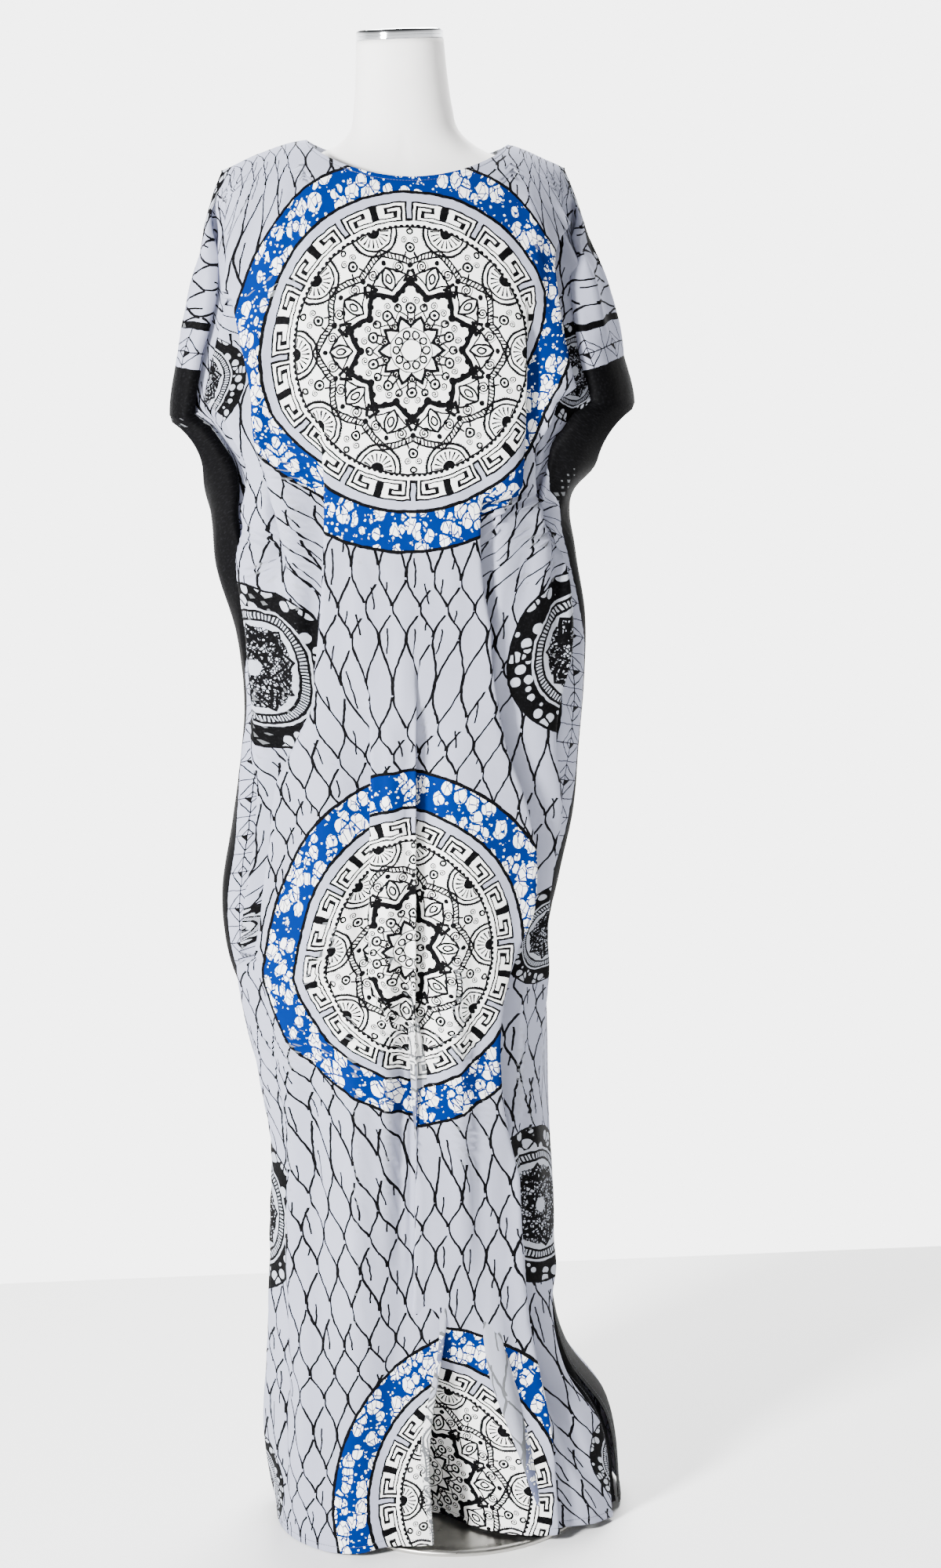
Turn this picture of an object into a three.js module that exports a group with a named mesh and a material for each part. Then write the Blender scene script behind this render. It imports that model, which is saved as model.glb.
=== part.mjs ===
// Bati dress on a limbless dress form: one printed cotton cloth folded over the shoulders.
// Millimetres, +Z up, the front faces -Y, the origin is at the middle of the base's underside.
import * as THREE from "three";

// The cloth as it was cut, and its wall.
const clothHalfWidth = 550;
const clothDrop = 1520;
const wall = 1.5;
const seamGap = 0.36;
const cuffDepth = 280;
// Nearer to the shoulder fold than this, the two halves keep the gap between them.
const foldClose = 3;

// The shoulder: the cloth turns downwards from a point on the shoulder fold.
const turnFrom = 270;
const ridgeHeight = 1462;
const hemHeight = 1.5;
const hemOverBase = 10.5;
const chestRound = 86;

// The neckline, cut across the fold.
const neckHalfWidth = 104;
const neckFrontDrop = 78;
const neckBackDrop = 66;
const neckFade = 230;

// How the laps are laid.
const lapDepth = 5;
const lapTurn = 7;
const lapRise = 42;
const lapReach = 58;
const lapStart = 112;

// Heights, and how far the cloth reaches from the axis to the left, right, front and back.
// "lean" moves the middle sideways, "seamLeft" and "seamRight" carry a side seam rearwards.
const reachRows = [
  { height: 0, left: 205, right: 176, front: 146, back: 158, lean: -34, seamLeft: 56, seamRight: -34 },
  { height: 100, left: 211, right: 166, front: 141, back: 152, lean: -40, seamLeft: 60, seamRight: -36 },
  { height: 165, left: 206, right: 124, front: 136, back: 147, lean: -40, seamLeft: 60, seamRight: -30 },
  { height: 240, left: 198, right: 108, front: 131, back: 142, lean: -38, seamLeft: 56, seamRight: -22 },
  { height: 330, left: 191, right: 111, front: 126, back: 138, lean: -36, seamLeft: 60, seamRight: -6 },
  { height: 430, left: 184, right: 108, front: 122, back: 134, lean: -33, seamLeft: 66, seamRight: 20 },
  { height: 510, left: 197, right: 109, front: 119, back: 131, lean: -30, seamLeft: 62, seamRight: 36 },
  { height: 580, left: 210, right: 111, front: 118, back: 129, lean: -28, seamLeft: 50, seamRight: 30 },
  { height: 645, left: 225, right: 117, front: 118, back: 128, lean: -25, seamLeft: 34, seamRight: 26 },
  { height: 710, left: 227, right: 132, front: 118, back: 127, lean: -22, seamLeft: 20, seamRight: 30 },
  { height: 780, left: 213, right: 149, front: 118, back: 126, lean: -19, seamLeft: 14, seamRight: 34 },
  { height: 850, left: 200, right: 157, front: 119, back: 126, lean: -16, seamLeft: 34, seamRight: 38 },
  { height: 910, left: 193, right: 164, front: 120, back: 126, lean: -14, seamLeft: 44, seamRight: 40 },
  { height: 985, left: 197, right: 168, front: 121, back: 126, lean: -11, seamLeft: 20, seamRight: 36 },
  { height: 1055, left: 214, right: 160, front: 121, back: 126, lean: -8, seamLeft: 4, seamRight: 30 },
  { height: 1115, left: 217, right: 158, front: 121, back: 126, lean: -5, seamLeft: 0, seamRight: 12 },
  { height: 1160, left: 232, right: 196, front: 120, back: 125, lean: -3, seamLeft: 0, seamRight: 0 },
  { height: 1205, left: 253, right: 225, front: 119, back: 124, lean: -2, seamLeft: 0, seamRight: 0 },
  { height: 1275, left: 243, right: 215, front: 118, back: 122, lean: 0, seamLeft: 0, seamRight: 0 },
  { height: 1340, left: 224, right: 199, front: 118, back: 120, lean: 2, seamLeft: 0, seamRight: 0 },
  { height: 1400, left: 209, right: 183, front: 118, back: 120, lean: 3, seamLeft: 0, seamRight: 0 },
  { height: 1440, left: 197, right: 171, front: 118, back: 120, lean: 3, seamLeft: 0, seamRight: 0 },
  { height: 1462, left: 186, right: 161, front: 118, back: 120, lean: 3, seamLeft: 0, seamRight: 0 },
];
const roundness = 2.3;

// The shoulder fold's height at its inner and outer ends.
const shoulderRows = [
  { across: -260, height: 1452 },
  { across: -192, height: 1456 },
  { across: -150, height: 1472 },
  { across: -104, height: 1484 },
  { across: 0, height: 1484 },
  { across: 104, height: 1472 },
  { across: 150, height: 1452 },
  { across: 176, height: 1440 },
  { across: 240, height: 1436 },
];

// Laps, from the middle of the cloth outwards. At each height, "edge" is where the lap's fold lies,
// measured across the cloth from its middle, and "hides" is the cloth that it takes up.
const laps = {
  frontLeft: [
    [
      { height: 0, edge: 36, hides: 84 },
      { height: 120, edge: 34, hides: 96 },
      { height: 260, edge: 10, hides: 92 },
      { height: 380, edge: 4, hides: 78 },
      { height: 480, edge: 2, hides: 54 },
      { height: 560, edge: 2, hides: 26 },
      { height: 630, edge: 4, hides: 0 },
    ],
    [
      { height: 560, edge: 46, hides: 0 },
      { height: 640, edge: 50, hides: 24 },
      { height: 700, edge: 50, hides: 34 },
      { height: 850, edge: 48, hides: 28 },
      { height: 950, edge: 46, hides: 0 },
    ],
    [
      { height: 640, edge: 214, hides: 0 },
      { height: 700, edge: 208, hides: 120 },
      { height: 760, edge: 204, hides: 176 },
      { height: 830, edge: 186, hides: 180 },
      { height: 880, edge: 150, hides: 166 },
      { height: 930, edge: 112, hides: 150 },
      { height: 1020, edge: 98, hides: 134 },
      { height: 1060, edge: 96, hides: 100 },
      { height: 1110, edge: 94, hides: 52 },
      { height: 1160, edge: 94, hides: 20 },
      { height: 1210, edge: 94, hides: 0 },
    ],
    [
      { height: 1040, edge: 250, hides: 0 },
      { height: 1100, edge: 206, hides: 52 },
      { height: 1150, edge: 182, hides: 84 },
      { height: 1190, edge: 174, hides: 92 },
      { height: 1235, edge: 170, hides: 98 },
      { height: 1290, edge: 182, hides: 84 },
      { height: 1345, edge: 196, hides: 0 },
    ],
  ],
  frontRight: [
    [
      { height: 400, edge: 4, hides: 0 },
      { height: 520, edge: 5, hides: 22 },
      { height: 650, edge: 6, hides: 34 },
      { height: 750, edge: 6, hides: 36 },
      { height: 850, edge: 6, hides: 32 },
      { height: 930, edge: 6, hides: 14 },
      { height: 990, edge: 6, hides: 0 },
    ],
    [
      { height: 0, edge: 150, hides: 40 },
      { height: 100, edge: 150, hides: 90 },
      { height: 300, edge: 122, hides: 150 },
      { height: 500, edge: 118, hides: 168 },
      { height: 600, edge: 134, hides: 150 },
      { height: 700, edge: 172, hides: 104 },
      { height: 800, edge: 160, hides: 97 },
      { height: 870, edge: 128, hides: 110 },
      { height: 950, edge: 94, hides: 122 },
      { height: 1030, edge: 76, hides: 118 },
      { height: 1080, edge: 72, hides: 62 },
      { height: 1130, edge: 72, hides: 0 },
    ],
    [
      { height: 1060, edge: 150, hides: 0 },
      { height: 1120, edge: 124, hides: 26 },
      { height: 1170, edge: 120, hides: 40 },
      { height: 1220, edge: 120, hides: 42 },
      { height: 1330, edge: 120, hides: 0 },
    ],
  ],
  backLeft: [
    [
      { height: 0, edge: 110, hides: 110 },
      { height: 400, edge: 112, hides: 132 },
      { height: 800, edge: 110, hides: 120 },
      { height: 1050, edge: 104, hides: 80 },
      { height: 1300, edge: 100, hides: 0 },
    ],
  ],
  backRight: [
    [
      { height: 0, edge: 92, hides: 110 },
      { height: 400, edge: 96, hides: 136 },
      { height: 640, edge: 92, hides: 130 },
      { height: 1000, edge: 90, hides: 90 },
      { height: 1240, edge: 88, hides: 0 },
    ],
  ],
};
// The side lap takes the width that is left, and the sleeve lap does so above the cuff.
const sideLaps = {
  frontLeft: [
    { height: 0, edge: 420 },
    { height: 300, edge: 424 },
    { height: 520, edge: 400 },
    { height: 640, edge: 380 },
    { height: 760, edge: 426 },
    { height: 860, edge: 430 },
    { height: 950, edge: 404 },
    { height: 1060, edge: 380 },
    { height: 1150, edge: 392 },
    { height: 1300, edge: 396 },
    { height: 1462, edge: 396 },
  ],
  frontRight: [
    { height: 0, edge: 424 },
    { height: 300, edge: 430 },
    { height: 520, edge: 424 },
    { height: 700, edge: 330 },
    { height: 860, edge: 300 },
    { height: 950, edge: 306 },
    { height: 1060, edge: 312 },
    { height: 1150, edge: 250 },
    { height: 1250, edge: 226 },
    { height: 1462, edge: 222 },
  ],
  backLeft: [
    { height: 0, edge: 280 },
    { height: 1462, edge: 236 },
  ],
  backRight: [
    { height: 0, edge: 270 },
    { height: 1462, edge: 228 },
  ],
};
// Below the sleeve, the width that shows between the side lap and the side seam.
const seamTails = {
  frontLeft: [
    { height: 0, shows: 16 },
    { height: 380, shows: 18 },
    { height: 480, shows: 40 },
    { height: 600, shows: 84 },
    { height: 760, shows: 100 },
    { height: 900, shows: 92 },
    { height: 1060, shows: 74 },
    { height: 1462, shows: 74 },
  ],
  frontRight: [
    { height: 0, shows: 30 },
    { height: 300, shows: 18 },
    { height: 480, shows: 24 },
    { height: 620, shows: 66 },
    { height: 780, shows: 96 },
    { height: 1060, shows: 100 },
    { height: 1462, shows: 90 },
  ],
  backLeft: [
    { height: 0, shows: 22 },
    { height: 600, shows: 30 },
    { height: 1462, shows: 30 },
  ],
  backRight: [
    { height: 0, shows: 40 },
    { height: 600, shows: 26 },
    { height: 1462, shows: 26 },
  ],
};
// How much of the sleeve hangs outside the sleeve lap.
const sleeveFlaps = { frontLeft: 62, frontRight: 96, backLeft: 88, backRight: 96 };
const sleeveMargin = 24;
// What the laps leave over is gathered softly outside the flat middle panel.
const flatPanel = 112;
const gatherTurn = 24;
const cuffOpening = 64;
const cuffFlapShare = 0.55;
// Where the laps open below the shoulder fold, and where the sleeve lap dies out below the cuff.
const lapsOpenFrom = 18;
const lapsOpenFull = 150;
const belowFrom = 10;
const belowFull = 190;
// The share of the loose width that the side lap takes beside the sleeve and below it, and the
// share that the sleeve lap takes.
const sideShareHigh = 0.3;
const sideShareLow = 0.96;
const sleeveShareHigh = 0.66;
const flapAtShoulder = 30;
const flapFull = 240;
// A lap that takes up more than this counts as laid, and the next one keeps clear of it by a gap.
const lapLaid = 14;
const lapGap = 16;
// The smallest turn, the lap that begins to count as one, and the one that lies at full depth.
const leastTurn = 0.5;
const leastLap = 4;
const fullLap = 40;
// Beside a lap the cloth comes back to the outline from this far past the fold.
const riseFrom = 4;
// The roll of cloth beside a lap's fold.
const rollRise = 4;
const rollWidth = 24;
// The sleeve's cloth comes down this much flatter than the chest's.
const sleeveFlatten = 0.62;

// Deep soft folds in the hem: where they lie across the cloth, how wide, and how far out or in.
const hemWaves = {
  front: [
    { across: -14, halfWidth: 46, rise: -58, top: 360 },
    { across: -70, halfWidth: 30, rise: 10, top: 420 },
    { across: 30, halfWidth: 70, rise: -52, top: 330 },
  ],
  back: [
    { across: -60, halfWidth: 70, rise: -26, top: 500 },
    { across: 40, halfWidth: 60, rise: -22, top: 460 },
  ],
};

// The dress form: heights, half width, half depth and how far its middle stands forward.
const formRows = [
  { height: 792, wide: 96, deep: 70, forward: 0 },
  { height: 800, wide: 112, deep: 82, forward: 0 },
  { height: 880, wide: 120, deep: 92, forward: 0 },
  { height: 960, wide: 114, deep: 88, forward: 0 },
  { height: 1050, wide: 102, deep: 78, forward: 0 },
  { height: 1140, wide: 112, deep: 84, forward: 4 },
  { height: 1220, wide: 124, deep: 88, forward: 8 },
  { height: 1290, wide: 132, deep: 88, forward: 10 },
  { height: 1350, wide: 142, deep: 80, forward: 6 },
  { height: 1395, wide: 156, deep: 70, forward: 2 },
  { height: 1420, wide: 158, deep: 62, forward: 0 },
  { height: 1438, wide: 150, deep: 53, forward: 0 },
  { height: 1450, wide: 132, deep: 45, forward: 0 },
  { height: 1460, wide: 108, deep: 40, forward: 0 },
  { height: 1470, wide: 80, deep: 39, forward: 0 },
  { height: 1488, wide: 57, deep: 43, forward: 0 },
  { height: 1510, wide: 51, deep: 44, forward: 0 },
  { height: 1545, wide: 47, deep: 44, forward: 0 },
  { height: 1579, wide: 45, deep: 44, forward: 0 },
];
const formSides = 24;
// The form stands a little askew on its pole, so its left shoulder is the higher.
const shoulderTilt = 0.04;
const formRound = 2.25;
const capRadius = 43.5;
const capHeight = 10;
const poleRadius = 12.5;
const baseRadius = 142;
const baseHeight = 9;
const flangeRadius = 34;
const flangeHeight = 18;
const turnSides = 28;

// A smooth line through the rows' values in one column.
function along(rows, place, column, at) {
  const last = rows.length - 1;
  let k = 0;
  while (k < last - 1 && rows[k + 1][place] < at) k += 1;
  const a = rows[k];
  const b = rows[k + 1];
  const before = rows[Math.max(0, k - 1)];
  const after = rows[Math.min(last, k + 2)];
  const span = b[place] - a[place];
  const t = THREE.MathUtils.clamp((at - a[place]) / span, 0, 1);
  const slopeA = ((b[column] - before[column]) / (b[place] - before[place])) * span;
  const slopeB = ((after[column] - a[column]) / (after[place] - a[place])) * span;
  const t2 = t * t;
  const t3 = t2 * t;
  const hermite = (2 * t3 - 3 * t2 + 1) * a[column] + (t3 - 2 * t2 + t) * slopeA;
  return hermite + (3 * t2 - 2 * t3) * b[column] + (t3 - t2) * slopeB;
}

const smooth = (x, low, high) => THREE.MathUtils.smoothstep(x, low, high);

// The cloth leaves the shoulder flat and turns down: how far it has gone out and down.
const arcSteps = 400;
const arcSpan = 1700;
const arcTable = (() => {
  const table = [{ out: 0, down: 0 }];
  const step = arcSpan / arcSteps;
  for (let k = 1; k <= arcSteps; k += 1) {
    const turn = (Math.PI / 2) * (1 - Math.exp((-(k - 0.5) * step) / chestRound));
    const last = table[k - 1];
    table.push({ out: last.out + Math.cos(turn) * step, down: last.down + Math.sin(turn) * step });
  }
  return table;
})();

function arcValue(h, column) {
  const x = (h / arcSpan) * arcSteps;
  const k = Math.min(arcSteps - 1, Math.floor(x));
  return THREE.MathUtils.lerp(arcTable[k][column], arcTable[k + 1][column], x - k);
}

const outFull = arcTable[arcSteps].out;

// Width of cloth from its middle to the sleeve fold, the cuff or the seam, at a distance h down.
const sleeveLength = clothHalfWidth - turnFrom;
const pathWidth = (h) => turnFrom + h * Math.asin(Math.min(1, sleeveLength / Math.max(h, 1e-6)));

// Flat cloth place of a point that lies p across and h down.
function flatPlace(p, h) {
  if (p <= turnFrom || h < 1e-6) return { u: p, v: h };
  const angle = (p - turnFrom) / h;
  return { u: turnFrom + h * Math.sin(angle), v: h * Math.cos(angle) };
}

function downShare(p, h) {
  const sideways = THREE.MathUtils.clamp((p - turnFrom) / Math.max(h * (Math.PI / 2), 1), 0, 1);
  const flatten = 1 - sleeveFlatten * sideways;
  const down = h - (h - arcValue(h, "down")) * flatten;
  const hemH = Math.hypot(clothDrop, Math.max(0, Math.min(p - turnFrom, sleeveLength)));
  const hemDown = hemH - (hemH - arcValue(hemH, "down")) * flatten;
  return down / hemDown;
}

// One level's outline, from the middle of the front round one side to the middle of the back.
const outlineSteps = 72;
const outlineCache = new Map();
function outline(side, h, share) {
  const key = `${side}:${h.toFixed(1)}:${share.toFixed(4)}`;
  if (outlineCache.has(key)) return outlineCache.get(key);
  const height = hemHeight + (ridgeHeight - hemHeight) * (1 - share);
  const lean = along(reachRows, "height", "lean", height);
  const wide = along(reachRows, "height", side < 0 ? "left" : "right", height) + side * -lean;
  const opened = arcValue(h, "out") / outFull;
  const front = along(reachRows, "height", "front", height) * opened;
  const back = along(reachRows, "height", "back", height) * opened;
  const points = [];
  let length = 0;
  for (let k = 0; k <= outlineSteps; k += 1) {
    const angle = (k / outlineSteps) * Math.PI;
    const c = Math.cos(angle);
    const s = Math.sin(angle);
    const x = lean + side * wide * Math.pow(Math.max(s, 0), 2 / roundness);
    const y = -Math.sign(c) * (c > 0 ? front : back) * Math.pow(Math.abs(c), 2 / roundness);
    if (k > 0) length += Math.hypot(x - points[k - 1].x, y - points[k - 1].y);
    points.push({ x, y, length });
  }
  const seamShift = along(reachRows, "height", side < 0 ? "seamLeft" : "seamRight", height);
  const result = { points, total: length, height };
  result.seam = points[outlineSteps / 2].length + seamShift * opened;
  outlineCache.set(key, result);
  return result;
}

// A point of the outline at a length from the middle of the front, with its outward normal.
function outlinePoint(line, side, length) {
  const { points } = line;
  let low = 0;
  let high = outlineSteps;
  while (high - low > 1) {
    const mid = (low + high) >> 1;
    if (points[mid].length < length) low = mid;
    else high = mid;
  }
  const a = points[low];
  const b = points[high];
  const span = Math.max(b.length - a.length, 1e-9);
  const t = (length - a.length) / span;
  const tx = (b.x - a.x) / span;
  const ty = (b.y - a.y) / span;
  return { x: a.x + tx * (length - a.length), y: a.y + ty * (length - a.length), nx: -side * -ty, ny: side * -tx, t };
}

// A ramp from 0 that turns softly into a straight rise.
function ramp(x, turn) {
  if (x <= -turn) return 0;
  if (x >= turn) return x;
  return ((x + turn) * (x + turn)) / (4 * turn);
}
const held = (x, width, turn) => ramp(x, turn) - ramp(x - width, turn);

// The laps at one level: where each begins across the cloth, what it hides and how it lies.
function levelLaps(quarter, side, h, line) {
  const front = quarter.startsWith("front");
  const seamLength = front ? line.seam : line.total - line.seam;
  const width = pathWidth(h);
  const cuffV = Math.sqrt(Math.max(0, h * h - sleeveLength * sleeveLength));
  const inCuff = h > sleeveLength && cuffV < cuffDepth;
  const opening = inCuff ? cuffOpening * Math.sin((Math.PI * cuffV) / cuffDepth) : 0;
  const shown = seamLength - opening - seamGap / 2;
  const list = [];
  let end = 0;
  for (const rows of laps[quarter]) {
    const hides = Math.max(0, along(rows, "height", "hides", line.height));
    const begin = Math.max(along(rows, "height", "edge", line.height), end);
    end = Math.max(end, smooth(hides, 0, lapLaid) * (begin + hides + lapGap));
    list.push({ begin, hides, reach: lapReach, over: true });
  }
  const taken = list.reduce((sum, lap) => sum + lap.hides, 0);
  const left = Math.max(0, width - shown - taken);
  const below = smooth(h, sleeveLength + belowFrom, sleeveLength + belowFull);
  const open = smooth(h, lapsOpenFrom, lapsOpenFull);
  const flap = THREE.MathUtils.lerp(flapAtShoulder, sleeveFlaps[quarter], smooth(h, 0, flapFull)) - opening * cuffFlapShare;
  const seamTail = along(seamTails[quarter], "height", "shows", line.height);
  const tail = THREE.MathUtils.lerp(flap, seamTail, below);
  const room = Math.max(0, width - tail - end - lapGap);
  const sideHides = Math.min(left * open * THREE.MathUtils.lerp(sideShareHigh, sideShareLow, below), room);
  const sleeveHides = Math.min(left * open * sleeveShareHigh * (1 - below), room - sideHides);
  const furthest = width - tail - sleeveHides - lapGap * (1 - below) - sideHides;
  const sideEdge = along(sideLaps[quarter], "height", "edge", line.height);
  list.push({ begin: Math.max(Math.min(sideEdge, furthest), end), hides: sideHides, reach: lapReach, over: true });
  const sleeveReach = Math.min(lapReach, Math.max(flap - sleeveMargin, 0));
  list.push({ begin: width - tail - sleeveHides, hides: sleeveHides, reach: sleeveReach, over: false });
  const hidden = list.reduce((sum, lap) => sum + lap.hides, 0);
  const loose = width - hidden;
  const gather = (loose - shown) / ramp(loose - flatPanel, gatherTurn);
  const level = { list, width, gather };
  for (const lap of list) lap.foldAt = lengthAlong(level, lap.begin);
  return level;
}

// A lap's half, the turn at its folds, and how fast its layers run back and forth.
function lapShape(lap) {
  const half = lap.hides / 2;
  const reach = Math.max(0, Math.min(half, lap.reach));
  const turn = Math.min(lapTurn, Math.max(half / 2, leastTurn));
  const slope = half > leastTurn ? reach / half : 0;
  return { half, turn, slope };
}

// How far along the outline the cloth lies at p across.
function lengthAlong(level, p) {
  let visible = p;
  let shift = 0;
  for (const lap of level.list) {
    const { half, turn, slope } = lapShape(lap);
    visible -= held(p - lap.begin, lap.hides, turn);
    if (lap.hides > leastLap) {
      const there = held(p - lap.begin, half, turn) - held(p - lap.begin - half, half, turn);
      shift += (lap.over ? -1 : 1) * slope * there;
    }
  }
  return visible - level.gather * ramp(visible - flatPanel, gatherTurn) + shift;
}

// How deep the cloth lies: a lap's layers lie one under another, and beside the lap the cloth sinks
// or rises with its place along the outline, so that the layers of the next lap keep their order.
function depthAt(level, p, length, h) {
  let depth = 0;
  const settle = smooth(h, 6, lapStart);
  for (const lap of level.list) {
    const { begin, hides, over, foldAt } = lap;
    const { half, turn } = lapShape(lap);
    const strength = smooth(hides, leastLap, fullLap);
    const first = smooth(p, begin - turn, begin + turn);
    const second = smooth(p, begin + half - turn, begin + half + turn);
    const third = smooth(p, begin + hides - turn, begin + hides + turn);
    const deep = lapDepth * strength * settle;
    const roll = rollRise * strength * settle;
    if (over) {
      const back = third * smooth(length, foldAt + riseFrom, foldAt + riseFrom + lapRise);
      depth -= deep * (first + second - 2 * back);
      depth += roll * Math.exp(-(((p - begin) / rollWidth) ** 2)) * (1 - first);
    } else {
      const sink = smooth(length, foldAt - riseFrom - lapRise, foldAt - riseFrom);
      depth -= deep * (2 * sink - second - third);
      depth += roll * Math.exp(-(((p - begin - hides) / rollWidth) ** 2)) * third;
    }
  }
  return depth;
}

const levelCache = new Map();
function clothPoint(quarter, p, h) {
  const side = quarter.endsWith("Left") ? -1 : 1;
  const front = quarter.startsWith("front");
  const share = downShare(p, h);
  const line = outline(side, h, share);
  const key = `${quarter}:${h.toFixed(2)}:${share.toFixed(5)}`;
  if (!levelCache.has(key)) levelCache.set(key, levelLaps(quarter, side, h, line));
  const level = levelCache.get(key);
  const across = Math.min(p, level.width);
  const laid = lengthAlong(level, across);
  const place = outlinePoint(line, side, front ? laid : line.total - laid);
  let depth = depthAt(level, across, laid, h);
  const { u } = flatPlace(p, h);
  for (const wave of hemWaves[front ? "front" : "back"]) {
    const fade = 1 - smooth(line.height, 0, wave.top);
    depth += wave.rise * fade * Math.exp(-(((side * u - wave.across) / wave.halfWidth) ** 2));
  }
  const x = place.x + place.nx * depth;
  let y = place.y + place.ny * depth;
  if (h < foldClose) y = front ? Math.min(y, -seamGap / 2) : Math.max(y, seamGap / 2);
  const lift = along(shoulderRows, "across", "height", x) - ridgeHeight;
  const lifted = lift * smooth(line.height, 1000, ridgeHeight);
  const top = ridgeHeight + lifted;
  const overBase = 1 - smooth(Math.hypot(x, y), baseRadius + 16, baseRadius + 48);
  const low = hemHeight + (hemOverBase - hemHeight) * overBase;
  return new THREE.Vector3(x, y, low + (top - low) * (1 - share));
}

// Rows down the cloth, and stations across it that follow the laps.
const rowLevels = [
  0.15, 16, 38, 66, 102, 148, 198, 242, sleeveLength, 318, 356, Math.hypot(sleeveLength, cuffDepth),
  462, 560, 670, 790, 910, 1030, 1150, 1270, 1380, 1460, clothDrop,
];

function rowDown(p, base, front) {
  const drop = front ? neckFrontDrop : neckBackDrop;
  const inside = Math.max(0, 1 - (p / neckHalfWidth) ** 2);
  const neck = drop * Math.sqrt(inside) * Math.max(0, 1 - base / neckFade);
  const slant = Math.hypot(clothDrop, Math.max(0, Math.min(p - turnFrom, sleeveLength))) - clothDrop;
  return base + neck + slant * (base / clothDrop) ** 2;
}

function stations(quarter, base) {
  const side = quarter.endsWith("Left") ? -1 : 1;
  const line = outline(side, base, downShare(0, base));
  const level = levelLaps(quarter, side, base, line);
  const marks = [0, 36, 70];
  for (const lap of level.list) {
    const turn = Math.min(lapTurn, Math.max(lap.hides / 4, 0.5));
    const half = lap.hides / 2;
    marks.push(lap.begin - turn * 0.7, lap.begin + turn * 0.7);
    marks.push(lap.begin + half - turn * 0.7, lap.begin + half + turn * 0.7);
    marks.push(lap.begin + lap.hides - turn * 0.8, lap.begin + lap.hides + turn * 0.8);
    marks.push(lap.begin + lap.hides + (lap.over ? 30 : 22));
  }
  marks.push(level.width);
  marks.sort((a, b) => a - b);
  const least = 1.2;
  for (let k = 1; k < marks.length; k += 1) marks[k] = Math.max(marks[k], marks[k - 1] + least);
  marks[marks.length - 1] = level.width;
  for (let k = marks.length - 2; k > 0; k -= 1) marks[k] = Math.min(marks[k], marks[k + 1] - least);
  return marks;
}

function clothGrid(front) {
  const names = front ? ["frontLeft", "frontRight"] : ["backLeft", "backRight"];
  return rowLevels.map((base) => {
    const left = stations(names[0], base).map((p) => clothPoint(names[0], p, rowDown(p, base, front)));
    const right = stations(names[1], base).map((p) => clothPoint(names[1], p, rowDown(p, base, front)));
    left.reverse();
    return left.concat(right.slice(1));
  });
}

function gridNormals(grid, front) {
  const rows = grid.length;
  const columns = grid[0].length;
  return grid.map((row, k) =>
    row.map((point, j) => {
      const across = new THREE.Vector3().subVectors(row[Math.min(columns - 1, j + 1)], row[Math.max(0, j - 1)]);
      const down = new THREE.Vector3().subVectors(grid[Math.min(rows - 1, k + 1)][j], grid[Math.max(0, k - 1)][j]);
      const normal = new THREE.Vector3().crossVectors(down, across).normalize();
      return front ? normal : normal.negate();
    })
  );
}

// A closed wall from a grid of outer points and their normals.
function wallSolid(grid, normals, thickness, outward) {
  const rows = grid.length;
  const columns = grid[0].length;
  const position = [];
  const index = [];
  for (const layer of [0, 1]) {
    for (let k = 0; k < rows; k += 1) {
      for (let j = 0; j < columns; j += 1) {
        const point = grid[k][j].clone().addScaledVector(normals[k][j], -thickness * layer);
        position.push(point.x, point.y, point.z);
      }
    }
  }
  const at = (layer, k, j) => layer * rows * columns + k * columns + j;
  const quad = (a, b, c, d) => {
    if (outward) index.push(a, b, c, a, c, d);
    else index.push(a, c, b, a, d, c);
  };
  for (let k = 0; k < rows - 1; k += 1) {
    for (let j = 0; j < columns - 1; j += 1) {
      quad(at(0, k, j), at(0, k + 1, j), at(0, k + 1, j + 1), at(0, k, j + 1));
      quad(at(1, k, j), at(1, k, j + 1), at(1, k + 1, j + 1), at(1, k + 1, j));
    }
  }
  for (let k = 0; k < rows - 1; k += 1) {
    quad(at(0, k, 0), at(1, k, 0), at(1, k + 1, 0), at(0, k + 1, 0));
    quad(at(0, k, columns - 1), at(0, k + 1, columns - 1), at(1, k + 1, columns - 1), at(1, k, columns - 1));
  }
  for (let j = 0; j < columns - 1; j += 1) {
    quad(at(0, 0, j), at(0, 0, j + 1), at(1, 0, j + 1), at(1, 0, j));
    quad(at(0, rows - 1, j), at(1, rows - 1, j), at(1, rows - 1, j + 1), at(0, rows - 1, j + 1));
  }
  const geometry = new THREE.BufferGeometry();
  geometry.setAttribute("position", new THREE.Float32BufferAttribute(position, 3));
  geometry.setIndex(index);
  return geometry;
}

// Front and back share one direction along the fold and the seams, so their edges stay parallel.
function shareEdges(frontNormals, backNormals) {
  frontNormals.forEach((row, k) => {
    const other = backNormals[k];
    for (const [a, b] of [[row[0], other[0]], [row[row.length - 1], other[other.length - 1]]]) {
      const mean = new THREE.Vector3().addVectors(a, b).normalize();
      a.copy(mean);
      b.copy(mean);
    }
  });
  for (const normal of [...frontNormals[0], ...backNormals[0]]) normal.setY(0).normalize();
}

const frontGrid = clothGrid(true);
const backGrid = clothGrid(false);
const frontNormals = gridNormals(frontGrid, true);
const backNormals = gridNormals(backGrid, false);
shareEdges(frontNormals, backNormals);

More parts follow.
